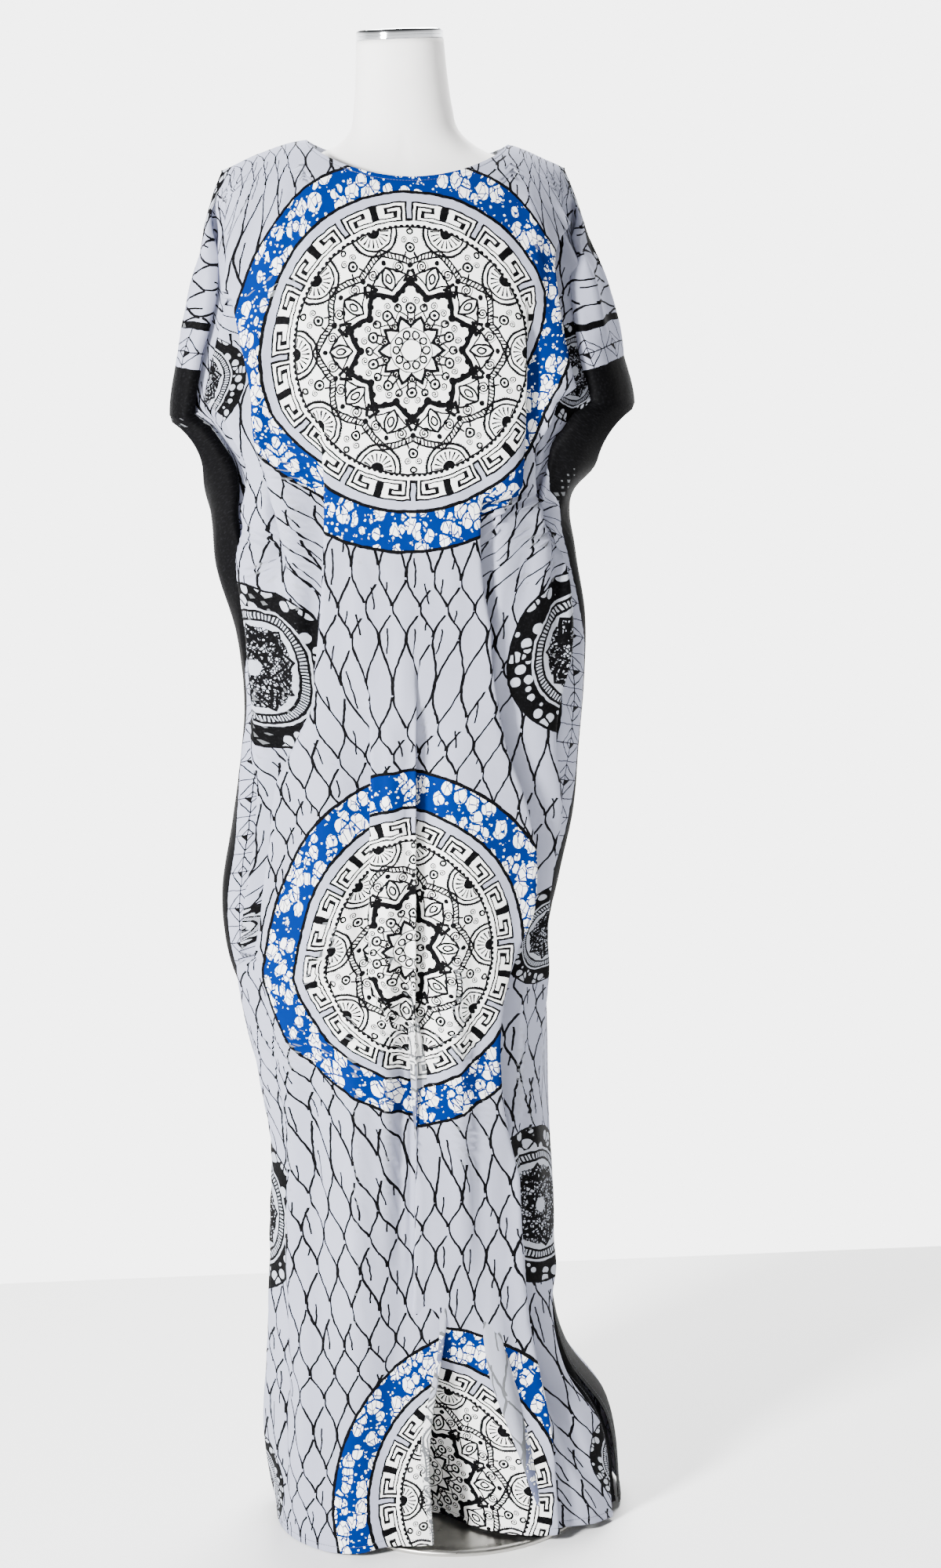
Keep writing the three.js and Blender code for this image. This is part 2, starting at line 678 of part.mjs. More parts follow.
// A whole form through oval rings, closed at both ends.
function formGeometry() {
  const position = [];
  const index = [];
  for (const ring of formRows) {
    for (let j = 0; j < formSides; j += 1) {
      const angle = (j / formSides) * 2 * Math.PI;
      const c = Math.cos(angle);
      const s = Math.sin(angle);
      const x = Math.sign(c) * ring.wide * Math.pow(Math.abs(c), 2 / formRound);
      const y = Math.sign(s) * ring.deep * Math.pow(Math.abs(s), 2 / formRound) - ring.forward;
      const tilted = smooth(ring.height, 1290, 1395) * (1 - smooth(ring.height, 1466, 1500));
      position.push(x, y, ring.height - shoulderTilt * x * tilted);
    }
  }
  const last = formRows.length - 1;
  position.push(0, -formRows[0].forward, formRows[0].height, 0, -formRows[last].forward, formRows[last].height);
  const low = formRows.length * formSides;
  for (let j = 0; j < formSides; j += 1) {
    const next = (j + 1) % formSides;
    for (let k = 0; k < last; k += 1) {
      const a = k * formSides + j;
      const b = k * formSides + next;
      index.push(a, b, b + formSides, a, b + formSides, a + formSides);
    }
    index.push(low, next, j, low + 1, last * formSides + j, last * formSides + next);
  }
  const geometry = new THREE.BufferGeometry();
  geometry.setAttribute("position", new THREE.Float32BufferAttribute(position, 3));
  geometry.setIndex(index);
  return geometry;
}

// A turned piece from its radius and height pairs, standing on +Z.
function turned(profile) {
  const points = profile.map(([radius, height]) => new THREE.Vector2(radius, height));
  return new THREE.LatheGeometry(points, turnSides).rotateX(Math.PI / 2);
}

const finish = (colour, roughness, metalness) =>
  new THREE.MeshStandardMaterial({ color: colour, roughness, metalness });

function piece(name, geometry, material) {
  const mesh = new THREE.Mesh(geometry, material);
  mesh.name = name;
  return mesh;
}

const printedCotton = finish(0xb9bcc6, 0.75, 0);
const jersey = finish(0xf4f3f1, 0.85, 0);
const chrome = finish(0xd8dadc, 0.12, 1);
const satinSteel = finish(0xb9b8b4, 0.35, 1);

const formTop = formRows[formRows.length - 1].height;
const formFoot = formRows[0].height;
const faceGap = 0.3;

const cap = turned([
  [0, formTop + faceGap],
  [capRadius, formTop + faceGap],
  [capRadius + 0.6, formTop + 2],
  [capRadius + 0.6, formTop + capHeight - 2],
  [capRadius - 1.5, formTop + capHeight],
  [0, formTop + capHeight + 1],
]);
const pole = turned([
  [0, baseHeight + faceGap],
  [poleRadius, baseHeight + faceGap],
  [poleRadius, formFoot - flangeHeight - faceGap],
  [0, formFoot - flangeHeight - faceGap],
]);
const flange = turned([
  [0, formFoot - flangeHeight],
  [flangeRadius - 12, formFoot - flangeHeight],
  [flangeRadius, formFoot - 5],
  [flangeRadius, formFoot - faceGap],
  [0, formFoot - faceGap],
]);
const base = turned([
  [0, 0],
  [baseRadius, 0],
  [baseRadius, 4],
  [baseRadius - 2, 6],
  [baseRadius - 6, 6],
  [baseRadius - 8, 4.5],
  [30, baseHeight - 1],
  [20, baseHeight],
  [0, baseHeight],
]);

const dress = new THREE.Group();
dress.add(piece("dress_front", wallSolid(frontGrid, frontNormals, wall, true), printedCotton));
dress.add(piece("dress_back", wallSolid(backGrid, backNormals, wall, false), printedCotton));
const form = new THREE.Group();
form.add(piece("form_torso", formGeometry(), jersey));
form.add(piece("neck_cap", cap, chrome));
form.add(piece("form_flange", flange, satinSteel));
form.add(piece("stand_pole", pole, satinSteel));
form.add(piece("stand_base", base, satinSteel));

const object = new THREE.Group();
object.add(dress, form);
export default object;
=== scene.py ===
# A bati dress of printed cotton on a limbless dress form with a steel base.
import math
import bpy
import numpy as np
from mathutils import Matrix, Vector


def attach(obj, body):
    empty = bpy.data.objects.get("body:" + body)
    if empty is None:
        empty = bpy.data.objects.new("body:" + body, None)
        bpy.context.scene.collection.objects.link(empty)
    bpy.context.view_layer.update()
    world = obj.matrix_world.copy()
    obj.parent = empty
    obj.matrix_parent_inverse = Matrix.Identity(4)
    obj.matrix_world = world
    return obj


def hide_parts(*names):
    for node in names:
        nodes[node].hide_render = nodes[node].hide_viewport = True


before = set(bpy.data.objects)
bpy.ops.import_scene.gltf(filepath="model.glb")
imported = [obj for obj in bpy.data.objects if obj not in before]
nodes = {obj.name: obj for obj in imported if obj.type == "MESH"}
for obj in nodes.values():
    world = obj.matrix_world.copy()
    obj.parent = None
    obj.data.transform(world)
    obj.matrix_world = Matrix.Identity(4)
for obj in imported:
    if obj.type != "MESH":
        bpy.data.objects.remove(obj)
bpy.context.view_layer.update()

# The camera stands a little right of the form's middle, at chest height, and looks down.
view = {"right": 0.041, "distance": 3.2, "height": 1.48, "pitch": 11.8, "roll": -2.3, "lens": 70.97}

cameraData = bpy.data.cameras.new("camera")
cameraData.sensor_fit = "VERTICAL"
cameraData.sensor_height = 36
cameraData.lens = view["lens"]
camera = bpy.data.objects.new("camera", cameraData)
lookDown = Matrix.Rotation(math.radians(90 - view["pitch"]), 4, "X")
turn = lookDown @ Matrix.Rotation(math.radians(view["roll"]), 4, "Z")
camera.matrix_world = Matrix.Translation((view["right"], -view["distance"], view["height"])) @ turn
bpy.context.scene.collection.objects.link(camera)
bpy.context.scene.camera = camera


def linear(hexColour):
    channels = [int(hexColour[k:k + 2], 16) / 255 for k in (1, 3, 5)]
    return [c / 12.92 if c <= 0.04045 else ((c + 0.055) / 1.055) ** 2.4 for c in channels] + [1.0]


# One node: the words of "kind" are its type and, where it has one, its operation.
def addNode(tree, kind, *inputs, output=0, **settings):
    words = kind.split()
    prefix = "GeometryNode" if tree.bl_idname == "GeometryNodeTree" else "ShaderNode"
    if not words[0].startswith(("ShaderNode", "GeometryNode", "FunctionNode", "NodeGroup")):
        words[0] = prefix + words[0]
    node = tree.nodes.new(words[0])
    if len(words) > 1:
        node.operation = words[1]
    for name, value in settings.items():
        if name in node.bl_rna.properties:
            setattr(node, name, value)
    named = [(name, value) for name, value in settings.items() if name not in node.bl_rna.properties]
    sockets = [socket for socket in node.inputs if socket.enabled]
    for key, value in list(zip(range(len(inputs)), inputs)) + named:
        socket = sockets[key] if isinstance(key, int) else node.inputs[key.replace("_", " ")]
        if isinstance(value, bpy.types.NodeSocket):
            tree.links.new(value, socket)
        elif value is not None:
            socket.default_value = value
    return [socket for socket in node.outputs if socket.enabled][output]


def newMaterial(name):
    material = bpy.data.materials.new(name)
    material.use_nodes = True
    tree = material.node_tree
    tree.nodes.clear()
    return material, tree, tree.nodes.new("ShaderNodeOutputMaterial").inputs["Surface"]


def meshPiece(name, vertices, faces, materials, faceMaterials=None):
    mesh = bpy.data.meshes.new(name)
    mesh.from_pydata([tuple(v) for v in vertices], [], [tuple(int(i) for i in f) for f in faces])
    for material in materials:
        mesh.materials.append(material)
    if faceMaterials is not None:
        mesh.polygons.foreach_set("material_index", faceMaterials)
    mesh.polygons.foreach_set("use_smooth", np.ones(len(mesh.polygons), dtype=bool))
    mesh.update()
    piece = bpy.data.objects.new(name, mesh)
    bpy.context.scene.collection.objects.link(piece)
    return piece


# Every piece stands on the fixed body; most take the place of a solid.
def finishPiece(piece, node=None):
    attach(piece, "root")
    if node:
        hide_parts(node)
    return piece


# The print in millimetres on the flat cloth: x across from the middle, y down the whole cloth.
printSizes = {
    "repeat": 610, "firstCentre": 248, "halfWidth": 550,
    "discRadius": 122.6, "meanderRadius": 132.6, "medallionRadius": 194.0,
    "starRadius": 116.4, "starDrawn": 120,
    "smallAcross": 330, "smallRadius": 56, "mediumAcross": 320, "mediumRadius": 90,
    "border": 60, "netStrip": 42, "netPitch": 21, "thickLine": 8, "diamond": 6.6,
}
# The paler grey mixed into the ink is painted sheen, light catching the black, and not wear.
printColours = {
    "ground": "#9FA2B4", "blue": "#001F62", "white": "#FDFDFB", "pale": "#A9ADB8",
    "ink": "#050506", "paintedSheenInk": "#2C2C30", "wrongSide": "#8F9296",
}
# The waving lines: column gap and wave length in millimetres, and the rest as shares of them.
vines = {
    "gap": 13.8, "wave": 74.0, "drift": 1.1, "swing": 0.49, "swingMost": 0.46, "halfWidth": 0.082,
    "halfWidthSpread": 0.025, "breakAt": 0.3, "breakSpread": 0.16, "breakLeast": -0.04,
    "spurShare": 0.45, "spurLength": 0.17, "spurSwing": -0.35, "spurHalfWidth": 0.065,
}
# The crackle: cells to a millimetre, and sizes as shares of a cell.
crackle = {
    "cells": 0.078, "squash": 0.72, "uneven": 0.9, "cellLeast": 0.34, "cellSpread": 0.34, "wall": 0.05,
    "smallCells": 0.19, "smallCell": 0.24, "veins": 0.16, "veinSquash": 0.55, "veinTurn": 0.6, "vein": 0.045,
}
# Rings of the large medallion: inner and outer radius, and colour.
ringRows = [
    (0, 122.6, "white"), (122.6, 142.6, "meander"), (142.6, 151, "ground"),
    (151, 154.4, "ink"), (154.4, 190.5, "crackle"), (190.5, 194, "ink"),
]
# The meander's white path inside half a unit: left, right, low and high in millimetres.
meanderBars = [
    (4.2, 6.4, -1.0, 18.0), (4.2, 31.0, 15.6, 18.2), (25.0, 31.0, 4.9, 18.2), (15.8, 31.0, 4.9, 9.0),
    (8.8, 11.8, 1.5, 13.4), (8.8, 21.6, 10.9, 13.4), (8.8, 36.0, 1.5, 3.6),
]
# The star inside: zigzags between a point and a hollow, circles, spirals and strokes.
starFolds = 10
starWeight = 2.1
starZigzags = [
    (33, 23, 1.1), (39.5, 28.5, 0.45), (52, 66, 1.5), (60, 77, 0.5), (84, 70, 0.6), (95, 82, 0.5),
    (101, 88, 0.5),
]
starCircles = [
    (15.3, 0, 3.5, 0.42), (26.5, 8.6, 2.6, 0.4), (26.5, 8.6, 0, 1.0), (43.0, 0, 3.4, 0.45),
    (44.5, 0, 0, 1.3), (38.8, 12.6, 4.6, 0.5), (38.8, 12.6, 0, 1.5), (52.0, 0, 0, 3.4),
    (62.8, 20.4, 0, 4.2), (57.5, 10.5, 0, 2.6), (72, -8.5, 14.6, 0.5), (72, -2.2, 5.2, 0.45),
    (95.0, 30.9, 4.4, 0.5), (95.0, 30.9, 0, 1.6), (120, 0, 23.5, 0.6), (120, 0, 18.6, 0.45),
    (120, 0, 0, 5.4), (110.5, 35.5, 2.4, 0.45), (88.5, 0, 0, 2.2), (78.5, 25.4, 0, 2.4),
]
starSpirals = [(47.5, 9.2, 3.8, 2.1), (80.5, 13.6, 6.4, 2.7), (103.5, 27.5, 3.6, 2.0)]
starStrokes = [(28, 4.6, 37, 8.4, 0.45), (66, 15, 74, 21.8, 0.8), (86, 20.5, 91.5, 25, 0.45)]
# The dark medallions as shares of their radius: zigzags, and plain rings by middle and half width.
darkZigzags = [(0.52, 0.36, 0.022), (0.43, 0.27, 0.03), (0.3, 0.42, 0.02), (0.2, 0.12, 0.025)]
darkRings = [(0.985, 0.015), (0.675, 0.015), (0.575, 0.015)]


def either(n, masks):
    whole = masks[0]
    for mask in masks[1:]:
        whole = n("Math MAXIMUM", whole, mask)
    return whole


def within(n, value, low, high):
    return n("Math COMPARE", value, (low + high) / 2, (high - low) / 2)


def without(n, mask):
    return n("Math SUBTRACT", 1.0, mask)


# Wavy lines in columns that meet in forks and part again, with open ends.
def vineLines(n, place, x, y):
    v = vines
    column = n("Math DIVIDE", x, v["gap"])
    whole = n("Math ROUND", column)
    offset = n("Math SUBTRACT", column, whole)
    drift = n("TexNoise", n("VectorMath MULTIPLY", place, (0.004, 0.009, 0.0)), Scale=1.0, Detail=0.0)
    phase = n("Math ADD", n("Math DIVIDE", y, v["wave"]), n("Math MULTIPLY", drift, v["drift"]))
    phase = n("Math ADD", phase, n("Math MULTIPLY", whole, 0.5))
    swing = n("Math MULTIPLY", n("Math SINE", n("Math MULTIPLY", phase, 2 * math.pi)), v["swing"])
    swing = n("Math MAXIMUM", n("Math MINIMUM", swing, v["swingMost"]), -v["swingMost"])
    apart = n("Math ABSOLUTE", n("Math SUBTRACT", offset, swing))
    cell = n("CombineXYZ", whole, n("Math FLOOR", phase), 0.0)
    chance = n("TexWhiteNoise", cell, noise_dimensions="3D")
    breakLength = n("Math MULTIPLY_ADD", chance, v["breakSpread"], v["breakLeast"])
    broken = n("Math COMPARE", n("Math FRACT", phase), v["breakAt"], breakLength)
    vine = n("Math LESS_THAN", apart, n("Math MULTIPLY_ADD", chance, v["halfWidthSpread"], v["halfWidth"]))
    vine = n("Math MULTIPLY", vine, without(n, broken))
    # A short free line stands inside some of the openings.
    spur = n("Math COMPARE", n("Math FRACT", n("Math ADD", phase, chance)), 0.5, v["spurLength"])
    spur = n("Math MULTIPLY", spur, n("Math GREATER_THAN", chance, v["spurShare"]))
    spurApart = n("Math ABSOLUTE", n("Math SUBTRACT", offset, n("Math MULTIPLY", swing, v["spurSwing"])))
    spur = n("Math MULTIPLY", spur, n("Math LESS_THAN", spurApart, v["spurHalfWidth"]))
    return n("Math MAXIMUM", vine, spur)


# Rounded cells left white where the wax held, with thin veins where it cracked.
def crackleCells(n, place):
    k = crackle
    stretch = n("Mapping", place, Scale=(1.0, k["squash"], 1.0))
    settings = {"Scale": k["cells"], "Randomness": k["uneven"]}
    centres = n("TexVoronoi", stretch, feature="F1", **settings)
    cellColour = n("TexVoronoi", stretch, feature="F1", output=1, **settings)
    edge = n("TexVoronoi", stretch, feature="DISTANCE_TO_EDGE", **settings)
    size = n("Math MULTIPLY_ADD", n("SeparateXYZ", cellColour), k["cellSpread"], k["cellLeast"])
    large = n("Math MULTIPLY", n("Math LESS_THAN", centres, size), n("Math GREATER_THAN", edge, k["wall"]))
    spots = n("TexVoronoi", place, Scale=k["smallCells"], Randomness=1.0, feature="F1")
    small = n("Math LESS_THAN", spots, k["smallCell"])
    leaning = n("Mapping", place, Rotation=(0, 0, k["veinTurn"]), Scale=(1.0, k["veinSquash"], 1.0))
    veins = n("TexVoronoi", leaning, Scale=k["veins"], Randomness=1.0, feature="DISTANCE_TO_EDGE")
    return n("Math MULTIPLY", n("Math MAXIMUM", large, small), n("Math GREATER_THAN", veins, k["vein"]))


# Twelve units, each of a grey stem and two square spirals facing each other.
def meanderParts(n, radius, angle):
    s = printSizes
    unit = n("Math PINGPONG", n("Math ADD", angle, 2 * math.pi), math.pi / 12)
    along = n("Math MULTIPLY", unit, s["meanderRadius"])
    up = n("Math SUBTRACT", radius, s["discRadius"])
    spot = n("CombineXYZ", along, up, 0.0)
    bars = []
    for left, right, low, high in meanderBars:
        middle = ((left + right) / 2, (low + high) / 2, 0)
        apart = n("VectorMath ABSOLUTE", n("VectorMath SUBTRACT", spot, middle))
        apart = n("VectorMath SUBTRACT", apart, ((right - left) / 2, (high - low) / 2, 1))
        sideways, upwards = n("SeparateXYZ", apart, output=slice(2))
        bars.append(n("Math LESS_THAN", n("Math MAXIMUM", sideways, upwards), 0.0))
    stem = n("Math MULTIPLY", n("Math LESS_THAN", along, 2.1), n("Math GREATER_THAN", up, 2.7))
    return either(n, bars), stem


# The scalloped line round the star, with half-round drops that point outwards.
def scallopLine(n, radius, angle):
    around = n("Math PINGPONG", n("Math MULTIPLY", n("Math ADD", angle, 7.0), 117.0), 2.8)
    spot = n("CombineXYZ", around, n("Math SUBTRACT", radius, 117.4), 0.0)
    drops = n("Math LESS_THAN", n("VectorMath LENGTH", spot), 2.1)
    drops = n("Math MULTIPLY", drops, n("Math GREATER_THAN", radius, 117.0))
    return n("Math MAXIMUM", within(n, radius, 115.8, 117.8), drops)


# One folded wedge holds the star's drawing.
def starLines(n, radius, angle):
    s = printSizes
    fold = math.pi / starFolds
    folded = n("Math PINGPONG", n("Math ADD", angle, 2 * math.pi), fold)
    drawn = n("Math MULTIPLY", radius, s["starDrawn"] / s["starRadius"])
    wedge = n("CombineXYZ", n("Math MULTIPLY", drawn, n("Math COSINE", folded)),
              n("Math MULTIPLY", drawn, n("Math SINE", folded)), 0.0)
    star = [within(n, radius, 9.6, 10.8), within(n, radius, 20.2, 21.2)]
    for tip, hollow, width in starZigzags:
        line = n("Math MULTIPLY_ADD", folded, (hollow - tip) / fold, float(tip))
        star.append(n("Math COMPARE", drawn, line, width * starWeight))
    for px, py, size, width in starCircles:
        away = n("VectorMath DISTANCE", wedge, (px, py, 0))
        star.append(n("Math COMPARE", away, float(size), width * (starWeight if size else 1.2)))
    for px, py, size, pitch in starSpirals:
        localX, localY = n("SeparateXYZ", n("VectorMath SUBTRACT", wedge, (px, py, 0)), output=slice(2))
        rho = n("VectorMath DISTANCE", wedge, (px, py, 0))
        phi = n("Math MULTIPLY", n("Math ARCTAN2", localY, localX), 0.5 / math.pi)
        wound = n("Math FRACT", n("Math SUBTRACT", n("Math ADD", n("Math DIVIDE", rho, pitch), 8.0), phi))
        coil = n("Math COMPARE", wound, 0.5, 0.27)
        star.append(n("Math MULTIPLY", coil, n("Math LESS_THAN", rho, float(size))))
    for x0, y0, x1, y1, width in starStrokes:
        reach = Vector((x1 - x0, y1 - y0, 0))
        local = n("VectorMath SUBTRACT", wedge, (x0, y0, 0))
        share = n("VectorMath DOT_PRODUCT", local, tuple(reach / reach.length_squared))
        share = n("Math MINIMUM", n("Math MAXIMUM", share, 0.0), 1.0)
        foot = n("VectorMath MULTIPLY", (reach.x, reach.y, 0.0), n("CombineXYZ", share, share, share))
        star.append(n("Math LESS_THAN", n("VectorMath DISTANCE", local, foot), width * starWeight))
    # Short ticks between the two fine zigzags.
    lower = n("Math MULTIPLY_ADD", folded, (82 - 95) / fold, 98.0)
    ticks = n("Math COMPARE", n("Math PINGPONG", n("Math MULTIPLY", folded, 90.0), 1.7), 0.0, 0.75)
    star.append(n("Math MULTIPLY", ticks, n("Math COMPARE", drawn, lower, 3.0)))
    # Rays and a fringe inside each rim shell: their spacing, half angle, and middle and half of their length.
    rimCentre = (s["starDrawn"], 0, 0)
    rim = n("VectorMath DISTANCE", wedge, rimCentre)
    rimX, rimY = n("SeparateXYZ", n("VectorMath SUBTRACT", wedge, rimCentre), output=slice(2))
    rimTurn = n("Math ARCTAN2", rimY, rimX)
    for parts, half, middle, length in [(18, 0.06, 11.5, 4.2), (60, 0.014, 24.4, 1.3)]:
        rays = n("Math COMPARE", n("Math PINGPONG", rimTurn, math.pi / parts), 0.0, half)
        star.append(n("Math MULTIPLY", rays, n("Math COMPARE", rim, middle, length)))
    return n("Math MULTIPLY", either(n, star), n("Math LESS_THAN", radius, s["starRadius"]))


# Beside the border: a thin net with small quartered diamonds, a thick line and the plain black edge.
def borderParts(n, across, y):
    s = printSizes
    inward = n("Math SUBTRACT", s["halfWidth"] - s["border"], across)
    pitch = float(s["netPitch"])
    netX = n("Math SUBTRACT", inward, s["netStrip"] * 0.42)
    netY = n("Math WRAP", y, pitch, -pitch)
    between = n("Math WRAP", n("Math ADD", y, pitch), pitch, -pitch)
    farX, farY = n("Math ABSOLUTE", netX), n("Math ABSOLUTE", netY)
    diamond = n("Math ADD", farX, farY)
    quarter = n("Math MULTIPLY", n("Math LESS_THAN", diamond, s["diamond"]), n("Math LESS_THAN", netX, 0.0))
    net = either(n, [
        n("Math COMPARE", diamond, s["diamond"], 0.8),
        n("Math LESS_THAN", farY, 0.55),
        n("Math COMPARE", n("Math ADD", farX, n("Math MULTIPLY", farY, 0.9)), 15.5, 0.85),
        n("Math MULTIPLY", n("Math LESS_THAN", farX, 0.6), n("Math LESS_THAN", diamond, 30.0)),
        n("Math LESS_THAN", n("Math ABSOLUTE", between), 0.5),
        n("Math MULTIPLY", quarter, n("Math GREATER_THAN", netY, 0.0)),
    ])
    netZone = within(n, inward, 0, s["netStrip"])
    thick = within(n, inward, s["netStrip"], s["netStrip"] + s["thickLine"])
    return net, netZone, thick, n("Math LESS_THAN", inward, 0.0)


# A crackle ring, light lines, a fine meander and a dense small star, at two sizes in turn.
def darkMedallions(n, across, level, between):
    s = printSizes
    places = []
    for key, down in (("small", level), ("medium", between)):
        place = n("CombineXYZ", n("Math SUBTRACT", across, float(s[key + "Across"])), down, 0.0)
        places.append(n("VectorMath SCALE", place, Scale=1 / s[key + "Radius"]))
    inSmall = n("Math LESS_THAN", n("VectorMath LENGTH", places[0]), 1.0)
    dark = n("Mix", inSmall, places[1], places[0], data_type="VECTOR")
    darkX, darkY = n("SeparateXYZ", dark, output=slice(2))
    rho = n("VectorMath LENGTH", dark)
    phi = n("Math ADD", n("Math ARCTAN2", darkY, darkX), 2 * math.pi)
    cells = n("TexVoronoi", dark, Scale=6.5, Randomness=0.95, feature="F1")
    edges = n("TexVoronoi", dark, Scale=6.5, Randomness=0.95, feature="DISTANCE_TO_EDGE")
    light = n("Math MULTIPLY", n("Math LESS_THAN", cells, 0.42), n("Math GREATER_THAN", edges, 0.07))
    teeth = n("Math COMPARE", n("Math PINGPONG", n("Math MULTIPLY", phi, 15.0), 1.0), 0.5, 0.24)
    grain = n("Math LESS_THAN", n("TexVoronoi", dark, Scale=26.0, feature="DISTANCE_TO_EDGE"), 0.17)
    ink = [
        n("Math MULTIPLY", without(n, light), n("Math COMPARE", rho, 0.85, 0.13)),
        n("Math MULTIPLY", teeth, n("Math COMPARE", rho, 0.625, 0.035)),
        n("Math MULTIPLY", grain, n("Math COMPARE", rho, 0.29, 0.2)),
    ]
    ink += [n("Math COMPARE", rho, middle, half) for middle, half in darkRings]
    eighth = n("Math PINGPONG", phi, math.pi / 8)
    for tip, hollow, width in darkZigzags:
        line = n("Math MULTIPLY_ADD", eighth, (hollow - tip) * 8 / math.pi, float(tip))
        ink.append(n("Math COMPARE", rho, line, width))
    return n("Math LESS_THAN", rho, 1.0), either(n, ink)


def printGroup():
    group = bpy.data.node_groups.new("clothPrint", "ShaderNodeTree")
    group.interface.new_socket("place", in_out="INPUT", socket_type="NodeSocketVector")
    group.interface.new_socket("colour", in_out="OUTPUT", socket_type="NodeSocketColor")
    group.interface.new_socket("ink", in_out="OUTPUT", socket_type="NodeSocketFloat")
    start = group.nodes.new("NodeGroupInput")
    end = group.nodes.new("NodeGroupOutput")
    s = printSizes

    def n(kind, *inputs, **settings):
        return addNode(group, kind, *inputs, **settings)

    def paint(under, mask, over):
        return n("Mix", mask, under, over, data_type="RGBA")

    # A hand-cut block never prints quite true, so every outline wavers by a fraction of a millimetre.
    millimetres = n("VectorMath SCALE", start.outputs[0], Scale=1000.0)
    waver = n("TexNoise", millimetres, Scale=0.11, Detail=1.0, output=1)
    shake = n("VectorMath SCALE", n("VectorMath SUBTRACT", waver, (0.5, 0.5, 0.5)), Scale=2.6)
    place = n("VectorMath ADD", millimetres, shake)
    x, y = n("SeparateXYZ", place, output=slice(2))
    across = n("Math ABSOLUTE", x)
    half = s["repeat"] / 2
    level = n("Math WRAP", n("Math SUBTRACT", y, float(s["firstCentre"])), half, -half)
    between = n("Math WRAP", n("Math SUBTRACT", y, s["firstCentre"] + half), half, -half)
    radius = n("VectorMath LENGTH", n("CombineXYZ", x, level, 0.0))
    angle = n("Math ARCTAN2", level, x)

    # Layers from the ground up.
    ground, white, blue, pale, ink, paintedSheenInk = (
        linear(printColours[key]) for key in ("ground", "white", "blue", "pale", "ink", "paintedSheenInk"))
    inDark, darkInk = darkMedallions(n, across, level, between)
    colour = paint(ground, inDark, pale)
    inkMask = n("Math ADD", n("Math MULTIPLY", vineLines(n, place, x, y), without(n, inDark)),
                n("Math MULTIPLY", darkInk, inDark))
    star = n("Math MAXIMUM", starLines(n, radius, angle), scallopLine(n, radius, angle))
    meander, stem = meanderParts(n, radius, angle)
    ringInk = []
    for low, high, kind in ringRows:
        zone = within(n, radius, low, high)
        if kind == "white":
            colour = paint(colour, zone, white)
            ringInk.append(n("Math MULTIPLY", zone, star))
        elif kind == "meander":
            colour = paint(colour, zone, paint(white, stem, ground))
            ringInk.append(n("Math MULTIPLY", zone, without(n, n("Math MAXIMUM", meander, stem))))
        elif kind == "crackle":
            colour = paint(colour, zone, paint(blue, crackleCells(n, place), white))
        elif kind == "ink":
            ringInk.append(zone)
        else:
            colour = paint(colour, zone, ground)
    disc = n("Math LESS_THAN", radius, s["medallionRadius"])
    inkMask = n("Math ADD", n("Math MULTIPLY", inkMask, without(n, disc)), either(n, ringInk))
    net, netZone, thick, border = borderParts(n, across, y)
    inkMask = n("Math MULTIPLY", inkMask, without(n, netZone))
    inkMask = either(n, [inkMask, n("Math MULTIPLY", net, netZone), thick, border])
    # Grey speckles on the black are painted sheen: light catching the ink, scattered by noise and not by the
    # lamps.
    sheenSpeckle = n("TexNoise", place, Scale=0.35, Detail=3.0)
    inkTone = paint(ink, n("MapRange", sheenSpeckle, 0.52, 0.75, 0.0, 0.22), paintedSheenInk)
    group.links.new(paint(colour, inkMask, inkTone), end.inputs[0])
    group.links.new(inkMask, end.inputs[1])
    return group


clothPrint = printGroup()
print("print drawn:", len(clothPrint.nodes), "nodes")


# Cotton, roller printed and starched: a plain weave that is dull where it is pale and has a slight
# sheen where the black is thick. The wrong side shows the print weaker through the cloth.
def printedCotton(name, wrongSide):
    material, tree, surface = newMaterial(name)
    place = addNode(tree, "UVMap", uv_map="flatCloth")
    group = tree.nodes.new("ShaderNodeGroup")
    group.node_tree = clothPrint
    tree.links.new(place, group.inputs[0])
    colour, ink = group.outputs[0], group.outputs[1]
    faded = addNode(tree, "Mix", wrongSide, colour, linear(printColours["wrongSide"]), data_type="RGBA")
    rough = addNode(tree, "MapRange", ink, 0.0, 1.0, 0.85, 0.66)
    # The real threads lie 0.35 mm apart; drawn 1.1 mm apart so that the weave shows at all.
    grid = addNode(tree, "VectorMath SCALE", place, Scale=2 * math.pi / 0.0011)
    warp, weft = addNode(tree, "SeparateXYZ", grid, output=slice(2))
    weave = addNode(tree, "Math MULTIPLY", addNode(tree, "Math SINE", warp), addNode(tree, "Math SINE", weft))
    crumple = addNode(tree, "TexNoise", place, Scale=26.0, Detail=3.0, Roughness=0.55)
    threads = addNode(tree, "Bump", Strength=0.18, Distance=0.0003, Height=weave)
    relief = addNode(tree, "Bump", Strength=0.35, Distance=0.004, Height=crumple, Normal=threads)
    shader = addNode(tree, "BsdfPrincipled", Base_Color=faded, Roughness=rough, Specular_IOR_Level=0.035,
                     Normal=relief)
    tree.links.new(shader, surface)
    return material


cotton = printedCotton("printedCotton", 0.0)
cottonWrongSide = printedCotton("printedCottonWrongSide", 0.38)
